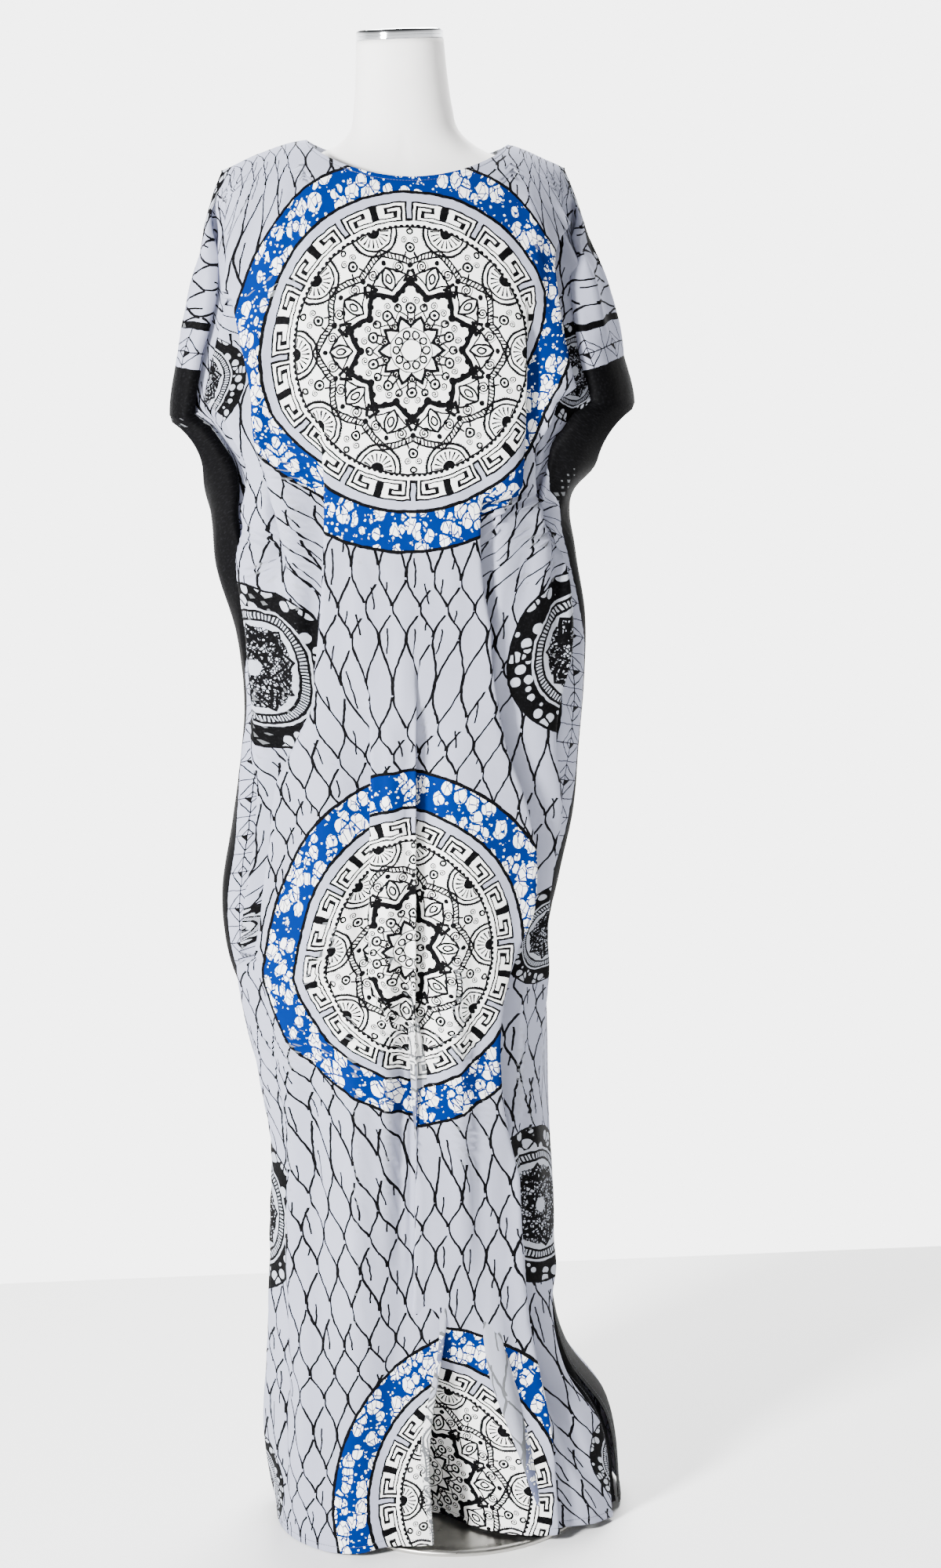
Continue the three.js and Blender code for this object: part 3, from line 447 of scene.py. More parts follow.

# The cloth, folded over the shoulders, in millimetres. Each half takes the place of its solid, as the other
# pieces do.
cloth = {
    "halfWidth": 550, "drop": 1520, "thickness": 0.8, "seamGap": 0.3, "cuffDepth": 280, "cuffOpening": 64,
    "turnFrom": 270, "ridgeHeight": 1462, "hemHeight": 1.5, "hemOverBase": 10.5, "baseRadius": 142,
    "neckHalfWidth": 104, "neckFrontDrop": 78, "neckBackDrop": 66, "neckFade": 230,
    "lapDepth": 6.5, "lapTurn": 7, "lapRise": 42, "lapReach": 58, "lapStart": 112, "lapGap": 16,
    "lapRoll": 4, "lapRollWidth": 24, "flapAtShoulder": 30, "sideShareHigh": 0.3, "sideShareLow": 0.66,
    "sleeveShare": 0.66, "cuffFlapShare": 0.55, "sleeveMargin": 24, "sleeveFlatten": 0.62,
    "chestRound": 86, "roundness": 2.3, "flatPanel": 112, "gatherTurn": 24, "foldClose": 3,
    "rows": 210, "columns": 118, "outlineSteps": 144,
}
sleeveLength = cloth["halfWidth"] - cloth["turnFrom"]
# Height, reach to the left, right, front and back, lean, and how far each side seam lies rearwards.
reachRows = np.array([
    (0, 205, 176, 146, 158, -34, 56, -34), (100, 211, 166, 141, 152, -40, 60, -36),
    (165, 206, 124, 136, 147, -40, 60, -30), (240, 198, 108, 131, 142, -38, 56, -22),
    (330, 191, 111, 126, 138, -36, 60, -6), (430, 184, 108, 122, 134, -33, 66, 20),
    (510, 197, 109, 119, 131, -30, 62, 36), (580, 210, 111, 118, 129, -28, 50, 30),
    (645, 225, 117, 118, 128, -25, 34, 26), (710, 227, 132, 118, 127, -22, 20, 30),
    (780, 213, 149, 118, 126, -19, 14, 34), (850, 200, 157, 119, 126, -16, 34, 38),
    (910, 193, 164, 120, 126, -14, 44, 40), (985, 197, 168, 121, 126, -11, 20, 36),
    (1055, 214, 160, 121, 126, -8, 4, 30), (1115, 217, 158, 121, 126, -5, 0, 12),
    (1160, 232, 196, 120, 125, -3, 0, 0), (1205, 253, 225, 119, 124, -2, 0, 0),
    (1275, 243, 215, 118, 122, 0, 0, 0), (1340, 224, 199, 118, 120, 2, 0, 0),
    (1400, 209, 183, 118, 120, 3, 0, 0), (1440, 197, 171, 118, 120, 3, 0, 0),
    (1462, 186, 161, 118, 120, 3, 0, 0),
], dtype=float)
shoulderRows = np.array([
    (-260, 1452), (-192, 1456), (-150, 1472), (-104, 1484), (0, 1484), (104, 1472), (150, 1452),
    (176, 1440), (240, 1436),
], dtype=float)
# Each lap lies over what it hides: height, its fold's place across, and the cloth that it takes up.
laps = {
    "frontLeft": [
        [(0, 36, 84), (120, 34, 96), (260, 10, 92), (380, 4, 78), (480, 2, 54), (560, 2, 26), (630, 4, 0)],
        [(560, 46, 0), (640, 50, 24), (700, 50, 34), (850, 48, 28), (950, 46, 0)],
        [(640, 214, 0), (700, 208, 120), (760, 204, 176), (830, 186, 180), (880, 150, 166), (930, 112, 150),
         (1020, 98, 134), (1060, 96, 100), (1110, 94, 52), (1160, 94, 20), (1210, 94, 0)],
        [(1040, 250, 0), (1100, 206, 52), (1150, 182, 84), (1190, 174, 92), (1235, 170, 98), (1290, 182, 84),
         (1345, 196, 0)],
    ],
    "frontRight": [
        [(400, 4, 0), (520, 5, 22), (650, 6, 34), (750, 6, 36), (850, 6, 32), (930, 6, 14), (990, 6, 0)],
        [(0, 150, 40), (100, 150, 90), (300, 122, 150), (500, 118, 168), (600, 134, 150), (700, 172, 104),
         (800, 160, 97), (870, 128, 110), (950, 94, 122), (1030, 76, 118), (1080, 72, 62), (1130, 72, 0)],
        [(1060, 150, 0), (1120, 124, 26), (1170, 120, 40), (1220, 120, 42), (1330, 120, 0)],
    ],
    "backLeft": [[(0, 110, 110), (400, 112, 132), (800, 110, 120), (1050, 104, 80), (1300, 100, 0)]],
    "backRight": [[(0, 92, 110), (400, 96, 136), (640, 92, 130), (1000, 90, 90), (1240, 88, 0)]],
}
# The side lap takes the width that is left; here only its fold's place across is given.
sideLaps = {
    "frontLeft": [
        (0, 420), (300, 424), (520, 400), (640, 380), (760, 426), (860, 430), (950, 404), (1060, 380),
        (1150, 392), (1300, 396), (1462, 396),
    ],
    "frontRight": [
        (0, 424), (300, 430), (520, 424), (700, 330), (860, 300), (950, 306), (1060, 312), (1150, 250),
        (1250, 226), (1462, 222),
    ],
    "backLeft": [(0, 280), (1462, 236)],
    "backRight": [(0, 270), (1462, 228)],
}
# Below the sleeve, the width that shows between the side lap and the side seam, at each height.
seamTails = {
    "frontLeft": [(0, 16), (380, 18), (480, 40), (600, 84), (760, 100), (900, 92), (1060, 74), (1462, 74)],
    "frontRight": [(0, 30), (300, 18), (480, 24), (620, 66), (780, 96), (1060, 100), (1462, 90)],
    "backLeft": [(0, 22), (600, 30), (1462, 30)],
    "backRight": [(0, 40), (600, 26), (1462, 26)],
}
# How much of the sleeve hangs outside the sleeve lap.
sleeveFlaps = {"frontLeft": 62, "frontRight": 96, "backLeft": 88, "backRight": 96}
# Soft folds in the hem: place across, half width, how far out or in, and where they fade.
hemWaves = {
    "front": [(-14, 46, -58, 360), (-70, 30, 10, 420), (30, 70, -52, 330)],
    "back": [(-60, 70, -26, 500), (40, 60, -22, 460)],
}


def along(rows, column, at):
    place, value = rows[:, 0], rows[:, column]
    last = len(place) - 1
    k = np.minimum(np.searchsorted(place[1:], at, side="left"), last - 1)
    before, after = np.maximum(k - 1, 0), np.minimum(k + 2, last)
    span = place[k + 1] - place[k]
    t = np.clip((at - place[k]) / span, 0, 1)
    slopeA = (value[k + 1] - value[before]) / (place[k + 1] - place[before]) * span
    slopeB = (value[after] - value[k]) / (place[after] - place[k]) * span
    t2, t3 = t ** 2, t ** 3
    hermite = (2 * t3 - 3 * t2 + 1) * value[k] + (t3 - 2 * t2 + t) * slopeA
    return hermite + (3 * t2 - 2 * t3) * value[k + 1] + (t3 - t2) * slopeB


def smooth(x, low, high):
    t = np.clip((x - low) / (high - low), 0, 1)
    return t * t * (3 - 2 * t)


# How far the cloth has come out from the ridge, and down from it, along its way over the chest.
arcSteps = 400
arcStep = 1700 / arcSteps
arcMiddles = (np.arange(1, arcSteps + 1) - 0.5) * arcStep
arcTurn = (math.pi / 2) * (1 - np.exp(-arcMiddles / cloth["chestRound"]))
arcOut = np.concatenate([[0], np.cumsum(np.cos(arcTurn) * arcStep)])
arcDown = np.concatenate([[0], np.cumsum(np.sin(arcTurn) * arcStep)])
arcPlaces = np.arange(arcSteps + 1) * arcStep


def pathWidth(h):
    return cloth["turnFrom"] + h * np.arcsin(np.minimum(1, sleeveLength / np.maximum(h, 1e-6)))


def flatPlace(p, h):
    angle = np.where(p > cloth["turnFrom"], (p - cloth["turnFrom"]) / np.maximum(h, 1e-6), 0)
    u = np.where(p > cloth["turnFrom"], cloth["turnFrom"] + h * np.sin(angle), p)
    return u, h * np.cos(angle)


def downShare(p, h):
    sideways = np.clip((p - cloth["turnFrom"]) / np.maximum(h * math.pi / 2, 1), 0, 1)
    flatten = 1 - cloth["sleeveFlatten"] * sideways
    down = h - (h - np.interp(h, arcPlaces, arcDown)) * flatten
    hemH = np.hypot(cloth["drop"], np.clip(p - cloth["turnFrom"], 0, sleeveLength))
    hemDown = hemH - (hemH - np.interp(hemH, arcPlaces, arcDown)) * flatten
    return down / hemDown


def ramp(x, turn):
    return np.where(x <= -turn, 0, np.where(x >= turn, x, (x + turn) ** 2 / (4 * turn)))


def held(x, width, turn):
    return ramp(x, turn) - ramp(x - width, turn)


# The outline of each point's level, from the middle of the front round one side to the back.
def outlines(side, h, share):
    c = cloth
    height = c["hemHeight"] + (c["ridgeHeight"] - c["hemHeight"]) * (1 - share)
    lean = along(reachRows, 5, height)
    wide = along(reachRows, 1 if side < 0 else 2, height) - side * lean
    opened = np.interp(h, arcPlaces, arcOut) / arcOut[-1]
    front = along(reachRows, 3, height) * opened
    back = along(reachRows, 4, height) * opened
    angle = np.linspace(0, math.pi, c["outlineSteps"] + 1)
    power = 2 / c["roundness"]
    sines = np.maximum(np.sin(angle), 0) ** power
    cosines = np.abs(np.cos(angle)) ** power
    x = lean[:, None] + side * wide[:, None] * sines
    ahead = np.cos(angle) > 0
    y = np.where(ahead, -front[:, None], back[:, None]) * cosines
    steps = np.hypot(np.diff(x, axis=1), np.diff(y, axis=1))
    lengths = np.concatenate([np.zeros((len(h), 1)), np.cumsum(steps, axis=1)], axis=1)
    shift = along(reachRows, 6 if side < 0 else 7, height)
    seam = lengths[:, c["outlineSteps"] // 2] + shift * opened
    return {"height": height, "lean": lean, "wide": wide, "front": front, "back": back, "x": x, "y": y,
            "lengths": lengths, "total": lengths[:, -1], "seam": seam}


# Laps lie side by side from the middle outwards: none begins before the one inside it has ended.
def lapsAt(quarter, h, height, seamLength):
    c = cloth
    width = pathWidth(h)
    cuffV = np.sqrt(np.maximum(0, h * h - sleeveLength ** 2))
    inCuff = (h > sleeveLength) & (cuffV < c["cuffDepth"])
    opening = np.where(inCuff, c["cuffOpening"] * np.sin(math.pi * cuffV / c["cuffDepth"]), 0)
    shown = seamLength - opening - c["seamGap"] / 2
    listed, end = [], np.zeros_like(h)
    for rows in laps[quarter]:
        rows = np.array(rows, dtype=float)
        hides = np.maximum(0, along(rows, 2, height))
        active = smooth(hides, 0, 14)
        begin = np.maximum(along(rows, 1, height), end)
        end = np.maximum(end, active * (begin + hides + c["lapGap"]))
        listed.append((begin, hides, np.full_like(h, c["lapReach"]), True))
    taken = sum(lap[1] for lap in listed)
    left = np.maximum(0, width - shown - taken)
    below = smooth(h, sleeveLength + 10, sleeveLength + 190)
    opened = smooth(h, 18, 150)
    flap = c["flapAtShoulder"] + (sleeveFlaps[quarter] - c["flapAtShoulder"]) * smooth(h, 0, 240)
    flap = flap - opening * c["cuffFlapShare"]
    seamTail = along(np.array(seamTails[quarter], dtype=float), 1, height)
    tail = seamTail + (flap - seamTail) * (1 - below)
    room = np.maximum(0, width - tail - end - c["lapGap"])
    sideShare = c["sideShareHigh"] + c["sideShareLow"] * below
    sideHides = np.minimum(left * opened * sideShare, room)
    sleeveHides = np.minimum(left * opened * c["sleeveShare"] * (1 - below), room - sideHides)
    sideRows = np.array(sideLaps[quarter], dtype=float)
    furthest = width - tail - sleeveHides - c["lapGap"] * (1 - below) - sideHides
    begin = np.maximum(np.minimum(along(sideRows, 1, height), furthest), end)
    listed.append((begin, sideHides, np.full_like(h, c["lapReach"]), True))
    sleeveReach = np.minimum(c["lapReach"], np.maximum(flap - c["sleeveMargin"], 0))
    listed.append((width - tail - sleeveHides, sleeveHides, sleeveReach, False))
    loose = width - sum(lap[1] for lap in listed)
    gather = (loose - shown) / ramp(loose - c["flatPanel"], c["gatherTurn"])
    return listed, width, gather


def lapTurns(hides, lapReach):
    half = hides / 2
    reach = np.maximum(0, np.minimum(half, lapReach))
    turn = np.minimum(cloth["lapTurn"], np.maximum(half / 2, 0.5))
    return half, turn, np.where(half > 0.5, reach / np.maximum(half, 0.5), 0)


# How far along the outline the cloth lies at p across.
def lengthAlong(listed, gather, p):
    c = cloth
    visible, shift = p.copy(), np.zeros_like(p)
    for begin, hides, lapReach, over in listed:
        half, turn, slope = lapTurns(hides, lapReach)
        visible -= held(p - begin, hides, turn)
        there = held(p - begin, half, turn) - held(p - begin - half, half, turn)
        shift += (-1 if over else 1) * slope * there * (hides > 4)
    return visible - gather * ramp(visible - c["flatPanel"], c["gatherTurn"]) + shift


# The layers of a lap lie one under another. Beside it the cloth sinks or rises with its place along
# the outline, so that the layers of the next lap keep their order.
def layCloth(listed, gather, p, h):
    c = cloth
    length = lengthAlong(listed, gather, p)
    depth = np.zeros_like(p)
    settle = smooth(h, 6, c["lapStart"])
    for begin, hides, lapReach, over in listed:
        strength = smooth(hides, 4, 40)
        half, turn, _ = lapTurns(hides, lapReach)
        foldAt = lengthAlong(listed, gather, begin)
        first = smooth(p, begin - turn, begin + turn)
        second = smooth(p, begin + half - turn, begin + half + turn)
        third = smooth(p, begin + hides - turn, begin + hides + turn)
        deep = c["lapDepth"] * strength * settle
        roll = c["lapRoll"] * strength * settle
        if over:
            back = third * smooth(length, foldAt + 4, foldAt + 4 + c["lapRise"])
            depth -= deep * (first + second - 2 * back)
            depth += roll * np.exp(-((p - begin) / c["lapRollWidth"]) ** 2) * (1 - first)
        else:
            sink = smooth(length, foldAt - 4 - c["lapRise"], foldAt - 4)
            depth -= deep * (2 * sink - second - third)
            depth += roll * np.exp(-((p - begin - hides) / c["lapRollWidth"]) ** 2) * third
    return length, depth


# Ridges and troughs, listed one by one. Each runs through three places given as (along the outline from the
# middle, height), with its half width and how far it stands out; the last number is a sharper side.
folds = {
    "front": [
        (0, 1420, 3, 1180, 2, 860, 3, -1.5, 0.3), (2, 880, -2, 620, -8, 300, 3.5, -2.0, 0.4),
        (-22, 1070, -10, 970, -20, 860, 5, 1.9, 0.4), (-3, 1050, 7, 960, 1, 870, 4, 1.7, 0),
        (15, 1020, 8, 930, 19, 850, 4, -1.4, 0), (-31, 910, -22, 845, -27, 770, 5, 1.6, -0.3),
        (28, 880, 34, 830, 27, 760, 5, 1.3, 0), (-48, 1130, -56, 1040, -50, 930, 7, 1.6, 0.2),
        (48, 1150, 40, 1060, 50, 960, 6, 1.4, -0.3), (-150, 1310, -160, 1160, -152, 985, 9, 3.2, 0.4),
        (-128, 1190, -119, 1070, -131, 905, 7, 2.6, 0), (-142, 1130, -147, 1000, -150, 860, 7, -2.6, 0),
        (-168, 1080, -178, 960, -170, 840, 9, 2.9, 0.3), (-190, 1120, -199, 990, -188, 880, 8, -2.4, 0),
        (-205, 1060, -212, 900, -204, 730, 10, 3.0, 0), (84, 1240, 92, 1090, 88, 900, 8, 2.4, -0.4),
        (108, 1260, 118, 1110, 112, 940, 7, -2.4, 0), (134, 1270, 141, 1120, 131, 975, 9, 3.0, 0.4),
        (152, 1190, 157, 1060, 150, 930, 7, -2.6, 0), (172, 1150, 166, 1000, 176, 850, 9, 2.8, 0),
        (190, 1040, 197, 930, 188, 800, 8, -2.2, 0), (150, 1450, 176, 1385, 201, 1290, 11, 3.6, 0.4),
        (177, 1440, 207, 1372, 229, 1290, 9, -2.8, 0), (136, 1410, 151, 1335, 158, 1235, 9, 2.8, 0.3),
        (206, 1420, 236, 1350, 252, 1270, 9, 2.6, 0), (120, 1440, 126, 1380, 124, 1310, 8, 2.0, 0),
        (-152, 1450, -182, 1385, -206, 1290, 11, 3.6, 0.4), (-180, 1445, -212, 1372, -236, 1290, 9, -2.8, 0),
        (-138, 1400, -151, 1330, -158, 1240, 9, 2.6, 0.3), (-208, 1430, -240, 1350, -262, 1265, 9, 2.6, 0),
        (-122, 1440, -130, 1370, -126, 1300, 8, 2.2, 0), (-90, 1420, -104, 1340, -98, 1240, 12, 1.6, 0),
        (88, 1400, 98, 1330, 94, 1250, 11, 1.5, 0), (-20, 910, -27, 620, -32, 320, 8, 3.4, 0.5),
        (-8, 870, -14, 580, -20, 300, 7, -3.2, 0), (-105, 730, -99, 665, -108, 600, 6, 2.7, 0.3),
        (-95, 710, -87, 640, -98, 560, 6, -2.3, 0), (-60, 770, -71, 660, -64, 550, 9, 2.4, 0),
        (-66, 570, -63, 390, -71, 200, 11, 3.8, 0.4), (-106, 630, -113, 430, -108, 200, 11, -3.6, 0),
        (-140, 570, -147, 380, -151, 180, 11, 3.4, 0.3), (-172, 620, -166, 430, -176, 250, 9, -2.8, 0),
        (-196, 560, -202, 400, -208, 220, 10, 3.0, 0), (38, 730, 46, 510, 52, 300, 13, 3.2, 0.4),
        (60, 710, 63, 480, 71, 280, 9, -2.8, 0), (22, 640, 26, 560, 20, 470, 7, 2.0, 0),
        (128, 810, 124, 610, 122, 420, 8, 2.7, 0.3), (142, 570, 137, 420, 141, 280, 7, -2.5, 0),
        (117, 490, 112, 360, 117, 240, 7, 2.5, 0), (160, 760, 167, 620, 160, 480, 8, 2.4, 0),
        (100, 340, 124, 200, 168, 40, 13, 4.4, 0.4), (121, 310, 151, 160, 200, 30, 9, -3.8, 0),
        (80, 310, 95, 180, 120, 30, 11, 3.2, 0.3), (-120, 340, -126, 200, -136, 40, 11, 3.4, 0),
        (-160, 310, -166, 180, -178, 30, 9, -3.2, 0), (-196, 300, -206, 170, -222, 30, 10, 3.0, 0),
        (170, 330, 205, 190, 246, 40, 10, 3.4, 0), (56, 260, 60, 150, 74, 20, 9, -2.6, 0),
    ],
    "back": [
        (0, 1430, -3, 1150, 2, 820, 3, -1.5, 0.3), (2, 840, 4, 560, -3, 150, 3.5, -2.0, 0.4),
        (-40, 1350, -48, 1180, -41, 960, 10, 2.4, 0.3), (-72, 1300, -64, 1120, -76, 900, 8, -2.2, 0),
        (38, 1330, 47, 1160, 40, 930, 10, 2.6, -0.3), (74, 1280, 66, 1080, 79, 860, 8, -2.2, 0),
        (-118, 1380, -130, 1200, -122, 990, 10, 3.0, 0.3), (-150, 1300, -142, 1120, -155, 910, 8, -2.8, 0),
        (-176, 1230, -187, 1060, -178, 860, 9, 3.0, 0), (120, 1360, 131, 1180, 124, 950, 10, 3.0, -0.4),
        (148, 1290, 157, 1100, 146, 890, 8, -2.6, 0), (182, 1200, 173, 1030, 186, 820, 9, 2.8, 0),
        (152, 1440, 184, 1370, 208, 1280, 11, 3.4, 0.4), (184, 1430, 214, 1360, 234, 1285, 9, -2.6, 0),
        (-150, 1440, -184, 1365, -210, 1280, 11, 3.4, 0.4), (-186, 1430, -217, 1360, -240, 1285, 9, -2.6, 0),
        (-20, 1010, -26, 930, -18, 850, 6, 1.8, 0), (16, 960, 24, 890, 14, 800, 6, 1.7, 0),
        (-58, 820, -66, 560, -60, 250, 12, 3.6, 0.4), (-90, 780, -84, 520, -96, 220, 10, -3.2, 0),
        (-24, 700, -31, 460, -25, 200, 10, 3.0, 0), (30, 760, 24, 500, 34, 210, 11, 3.4, -0.4),
        (58, 820, 66, 560, 60, 240, 9, -3.0, 0), (94, 760, 101, 500, 92, 200, 12, 3.6, 0.3),
        (-130, 760, -138, 520, -131, 230, 10, 3.2, 0), (-165, 700, -158, 480, -170, 240, 9, -2.8, 0),
        (130, 720, 124, 470, 135, 220, 9, -2.8, 0), (158, 800, 166, 560, 158, 300, 9, 2.8, 0),
        (-46, 330, -54, 190, -66, 30, 13, 3.8, 0), (-108, 320, -116, 180, -134, 30, 11, -3.2, 0),
        (-160, 330, -172, 190, -190, 30, 11, 3.4, 0), (44, 320, 52, 180, 66, 30, 12, 3.6, 0),
        (92, 310, 100, 170, 118, 30, 10, -3.0, 0), (150, 320, 168, 190, 196, 30, 11, 3.4, 0),
    ],
}
# Sharp creases across, left by the way the cloth was folded in its packet: height, where it runs
# from and to along the outline, how far it stands out, and its slope.
packetCreases = {
    "front": [
        (1155, -150, 150, 1.1, 0.01), (868, -170, 90, 1.2, -0.015), (640, -120, 160, 0.9, 0.02),
        (410, -150, 130, 1.3, -0.02), (1010, 20, 160, 0.7, 0.05), (250, -140, 40, 0.8, 0.0),
    ],
    "back": [
        (1160, -160, 140, 1.1, -0.01), (880, -140, 160, 1.2, 0.015), (620, -160, 120, 0.9, 0.0),
        (400, -130, 150, 1.3, 0.02),
    ],
}
# All folds are deepened alike, so that they show in soft light.
foldStrength = 2.3


def foldDepth(name, across, height):
    depth = np.zeros_like(across)
    for x0, z0, x1, z1, x2, z2, halfWidth, rise, sharp in folds[name]:
        t = np.clip((height - z0) / (z2 - z0), 0, 1)
        middle = (z1 - z0) / (z2 - z0)
        a = (x1 - x0 - (x2 - x0) * middle * middle) / (middle - middle * middle)
        line = x0 + a * t + (x2 - x0 - a) * t * t
        off = (across - line) / halfWidth
        fade = np.maximum(np.sin(math.pi * t), 0) ** 0.6
        depth += foldStrength * rise * fade * np.exp(-off * off) * (1 + sharp * np.tanh(2 * off))
    for z0, start, stop, rise, slope in packetCreases[name]:
        inside = smooth(across, start, start + 40) * (1 - smooth(across, stop - 40, stop))
        depth += rise * inside * np.exp(-np.abs(height - z0 - slope * across) / 3.2)
    return depth


def clothPoints(quarter, p, h):
    c = cloth
    side = -1 if quarter.endswith("Left") else 1
    front = quarter.startswith("front")
    half = "front" if front else "back"
    share = downShare(p, h)
    line = outlines(side, h, share)
    seamLength = line["seam"] if front else line["total"] - line["seam"]
    listed, width, gather = lapsAt(quarter, h, line["height"], seamLength)
    p = np.minimum(p, width)
    laid, depth = layCloth(listed, gather, p, h)
    length = laid if front else line["total"] - laid
    lengths = line["lengths"]
    low = np.clip((lengths < length[:, None]).sum(axis=1) - 1, 0, c["outlineSteps"] - 1)
    take = np.arange(len(p))
    t = (length - lengths[take, low]) / np.maximum(lengths[take, low + 1] - lengths[take, low], 1e-9)
    x = line["x"][take, low] + (line["x"][take, low + 1] - line["x"][take, low]) * t
    y = line["y"][take, low] + (line["y"][take, low + 1] - line["y"][take, low]) * t
    deep = np.maximum(np.where(y < 0, line["front"], line["back"]), 0.5)
    aside, power = x - line["lean"], c["roundness"] - 1
    nx = np.sign(aside) * (np.abs(aside) / line["wide"]) ** power / line["wide"]
    ny = np.sign(y) * (np.abs(y) / deep) ** power / deep
    size = np.maximum(np.hypot(nx, ny), 1e-9)
    u, v = flatPlace(p, h)
    u = u * side
    for middle, halfWidth, rise, top in hemWaves[half]:
        fade = 1 - smooth(line["height"], 0, top)
        depth = depth + rise * fade * np.exp(-((u - middle) / halfWidth) ** 2)
    crease = foldDepth(half, side * laid, line["height"]) * smooth(h, 20, 90)
    depth = depth + np.where(crease < 0, crease * smooth(h, 90, 260), crease)
    x = x + nx / size * depth
    y = y + ny / size * depth
    apart = c["seamGap"] / 2
    onFold = h < c["foldClose"]
    y = np.where(onFold, np.minimum(y, -apart) if front else np.maximum(y, apart), y)
    lift = along(shoulderRows, 1, x) - c["ridgeHeight"]
    top = c["ridgeHeight"] + lift * smooth(line["height"], 1000, c["ridgeHeight"])
    overBase = 1 - smooth(np.hypot(x, y), c["baseRadius"] + 16, c["baseRadius"] + 48)
    bottom = c["hemHeight"] + (c["hemOverBase"] - c["hemHeight"]) * overBase
    z = bottom + (top - bottom) * (1 - share)
    return np.stack([x, y, z], axis=1), np.stack([u, v if front else -v], axis=1)


def rowDown(p, base, front):
    c = cloth
    drop = c["neckFrontDrop"] if front else c["neckBackDrop"]
    inside = np.maximum(0, 1 - (p / c["neckHalfWidth"]) ** 2)
    neck = drop * np.sqrt(inside) * max(0, 1 - base / c["neckFade"])
    slant = np.hypot(c["drop"], np.clip(p - c["turnFrom"], 0, sleeveLength)) - c["drop"]
    return base + neck + slant * (base / c["drop"]) ** 2


# Columns crowd where a lap turns and where the neckline ends, and thin out between.
def columnPlaces(quarter, base):
    c = cloth
    side = -1 if quarter.endswith("Left") else 1
    h = np.array([max(base, 0.02)])
    line = outlines(side, h, downShare(np.zeros(1), h))
    seamLength = line["seam"] if quarter.startswith("front") else line["total"] - line["seam"]
    listed, width, _ = lapsAt(quarter, h, line["height"], seamLength)
    edge = float(pathWidth(rowDown(width, base, True))[0])
    fine = np.linspace(0, edge, 1200)
    neckEnd = np.exp(-((fine - c["neckHalfWidth"]) / 9) ** 2) * max(0, 1 - base / 160)
    weight = np.ones_like(fine) + 2.5 * neckEnd
    weight += 1.6 * np.exp(-((fine - edge) / 8) ** 2)
    for begin, hides, _, _ in listed:
        begin, hides = float(begin[0]), float(hides[0])
        strength = float(smooth(hides, 4, 40)) * float(smooth(base, 6, 60))
        for middle in (begin, begin + hides / 2, begin + hides):
            weight += 3.2 * strength * np.exp(-((fine - middle) / 13) ** 2)
    summed = np.concatenate([[0], np.cumsum((weight[1:] + weight[:-1]) / 2)])
    return np.interp(np.linspace(0, summed[-1], c["columns"]), summed, fine)


# Rows run closer together where the neckline and the hem are turned in.
neckRows = [0.02, 1.2, 3, 5, 6.2, 6.8, 7.4, 8.6]
hemRows = [1509, 1511.6, 1512.4, 1513, 1514.2, 1516, 1518, 1520]
between = np.linspace(11, 1506, cloth["rows"] - len(neckRows) - len(hemRows))
bases = np.concatenate([neckRows, between, hemRows])


def clothGrid(front):
    c = cloth
    half = "front" if front else "back"
    sides = []
    for sideName in ("Left", "Right"):
        places = [columnPlaces(half + sideName, base) for base in bases]
        p = np.concatenate(places)
        h = np.concatenate([rowDown(row, base, front) for row, base in zip(places, bases)])
        points, flat = clothPoints(half + sideName, p, h)
        shape = (c["rows"], c["columns"])
        sides.append((points.reshape(*shape, 3), flat.reshape(*shape, 2)))
    points = np.concatenate([sides[0][0][:, ::-1], sides[1][0][:, 1:]], axis=1)
    flat = np.concatenate([sides[0][1][:, ::-1], sides[1][1][:, 1:]], axis=1)
    return points, flat


def gridNormals(points, front):
    across = np.gradient(points, axis=1)
    down = np.gradient(points, axis=0)
    normal = np.cross(down, across)
    normal /= np.maximum(np.linalg.norm(normal, axis=2, keepdims=True), 1e-9)
    return normal if front else -normal


frontPoints, frontFlat = clothGrid(True)
backPoints, backFlat = clothGrid(False)
frontNormals, backNormals = gridNormals(frontPoints, True), gridNormals(backPoints, False)
for column in (0, -1):
    shared = frontNormals[:, column] + backNormals[:, column]
    shared[0] = shared[1]
    shared /= np.linalg.norm(shared, axis=1, keepdims=True)
    frontNormals[:, column] = shared
    backNormals[:, column] = shared
halves = ((frontPoints, frontNormals, frontFlat), (backPoints, backNormals, backFlat))
for _, normals, flat in halves:
    onFold = np.abs(flat[0, :, 0]) > cloth["neckHalfWidth"]
    normals[0, onFold, 1] = 0
    normals[0] /= np.maximum(np.linalg.norm(normals[0], axis=1, keepdims=True), 1e-6)
# The turned edges stand up a little and dip at their stitches, 7 mm from the edge.
hem = {"depth": 6.8, "rise": 0.35, "dip": 0.3}
for points, normals, flat in halves:
    for fromEdge, wide in ((bases, cloth["neckHalfWidth"]), (cloth["drop"] - bases, 1000)):
        relief = hem["rise"] * (1 - smooth(fromEdge, hem["depth"] - 0.6, hem["depth"]))
        relief = relief - hem["dip"] * np.exp(-((fromEdge - hem["depth"]) / 0.7) ** 2)
        points += normals * (relief[:, None] * (np.abs(flat[:, :, 0]) < wide))[:, :, None]
print("cloth laid:", frontPoints.shape)


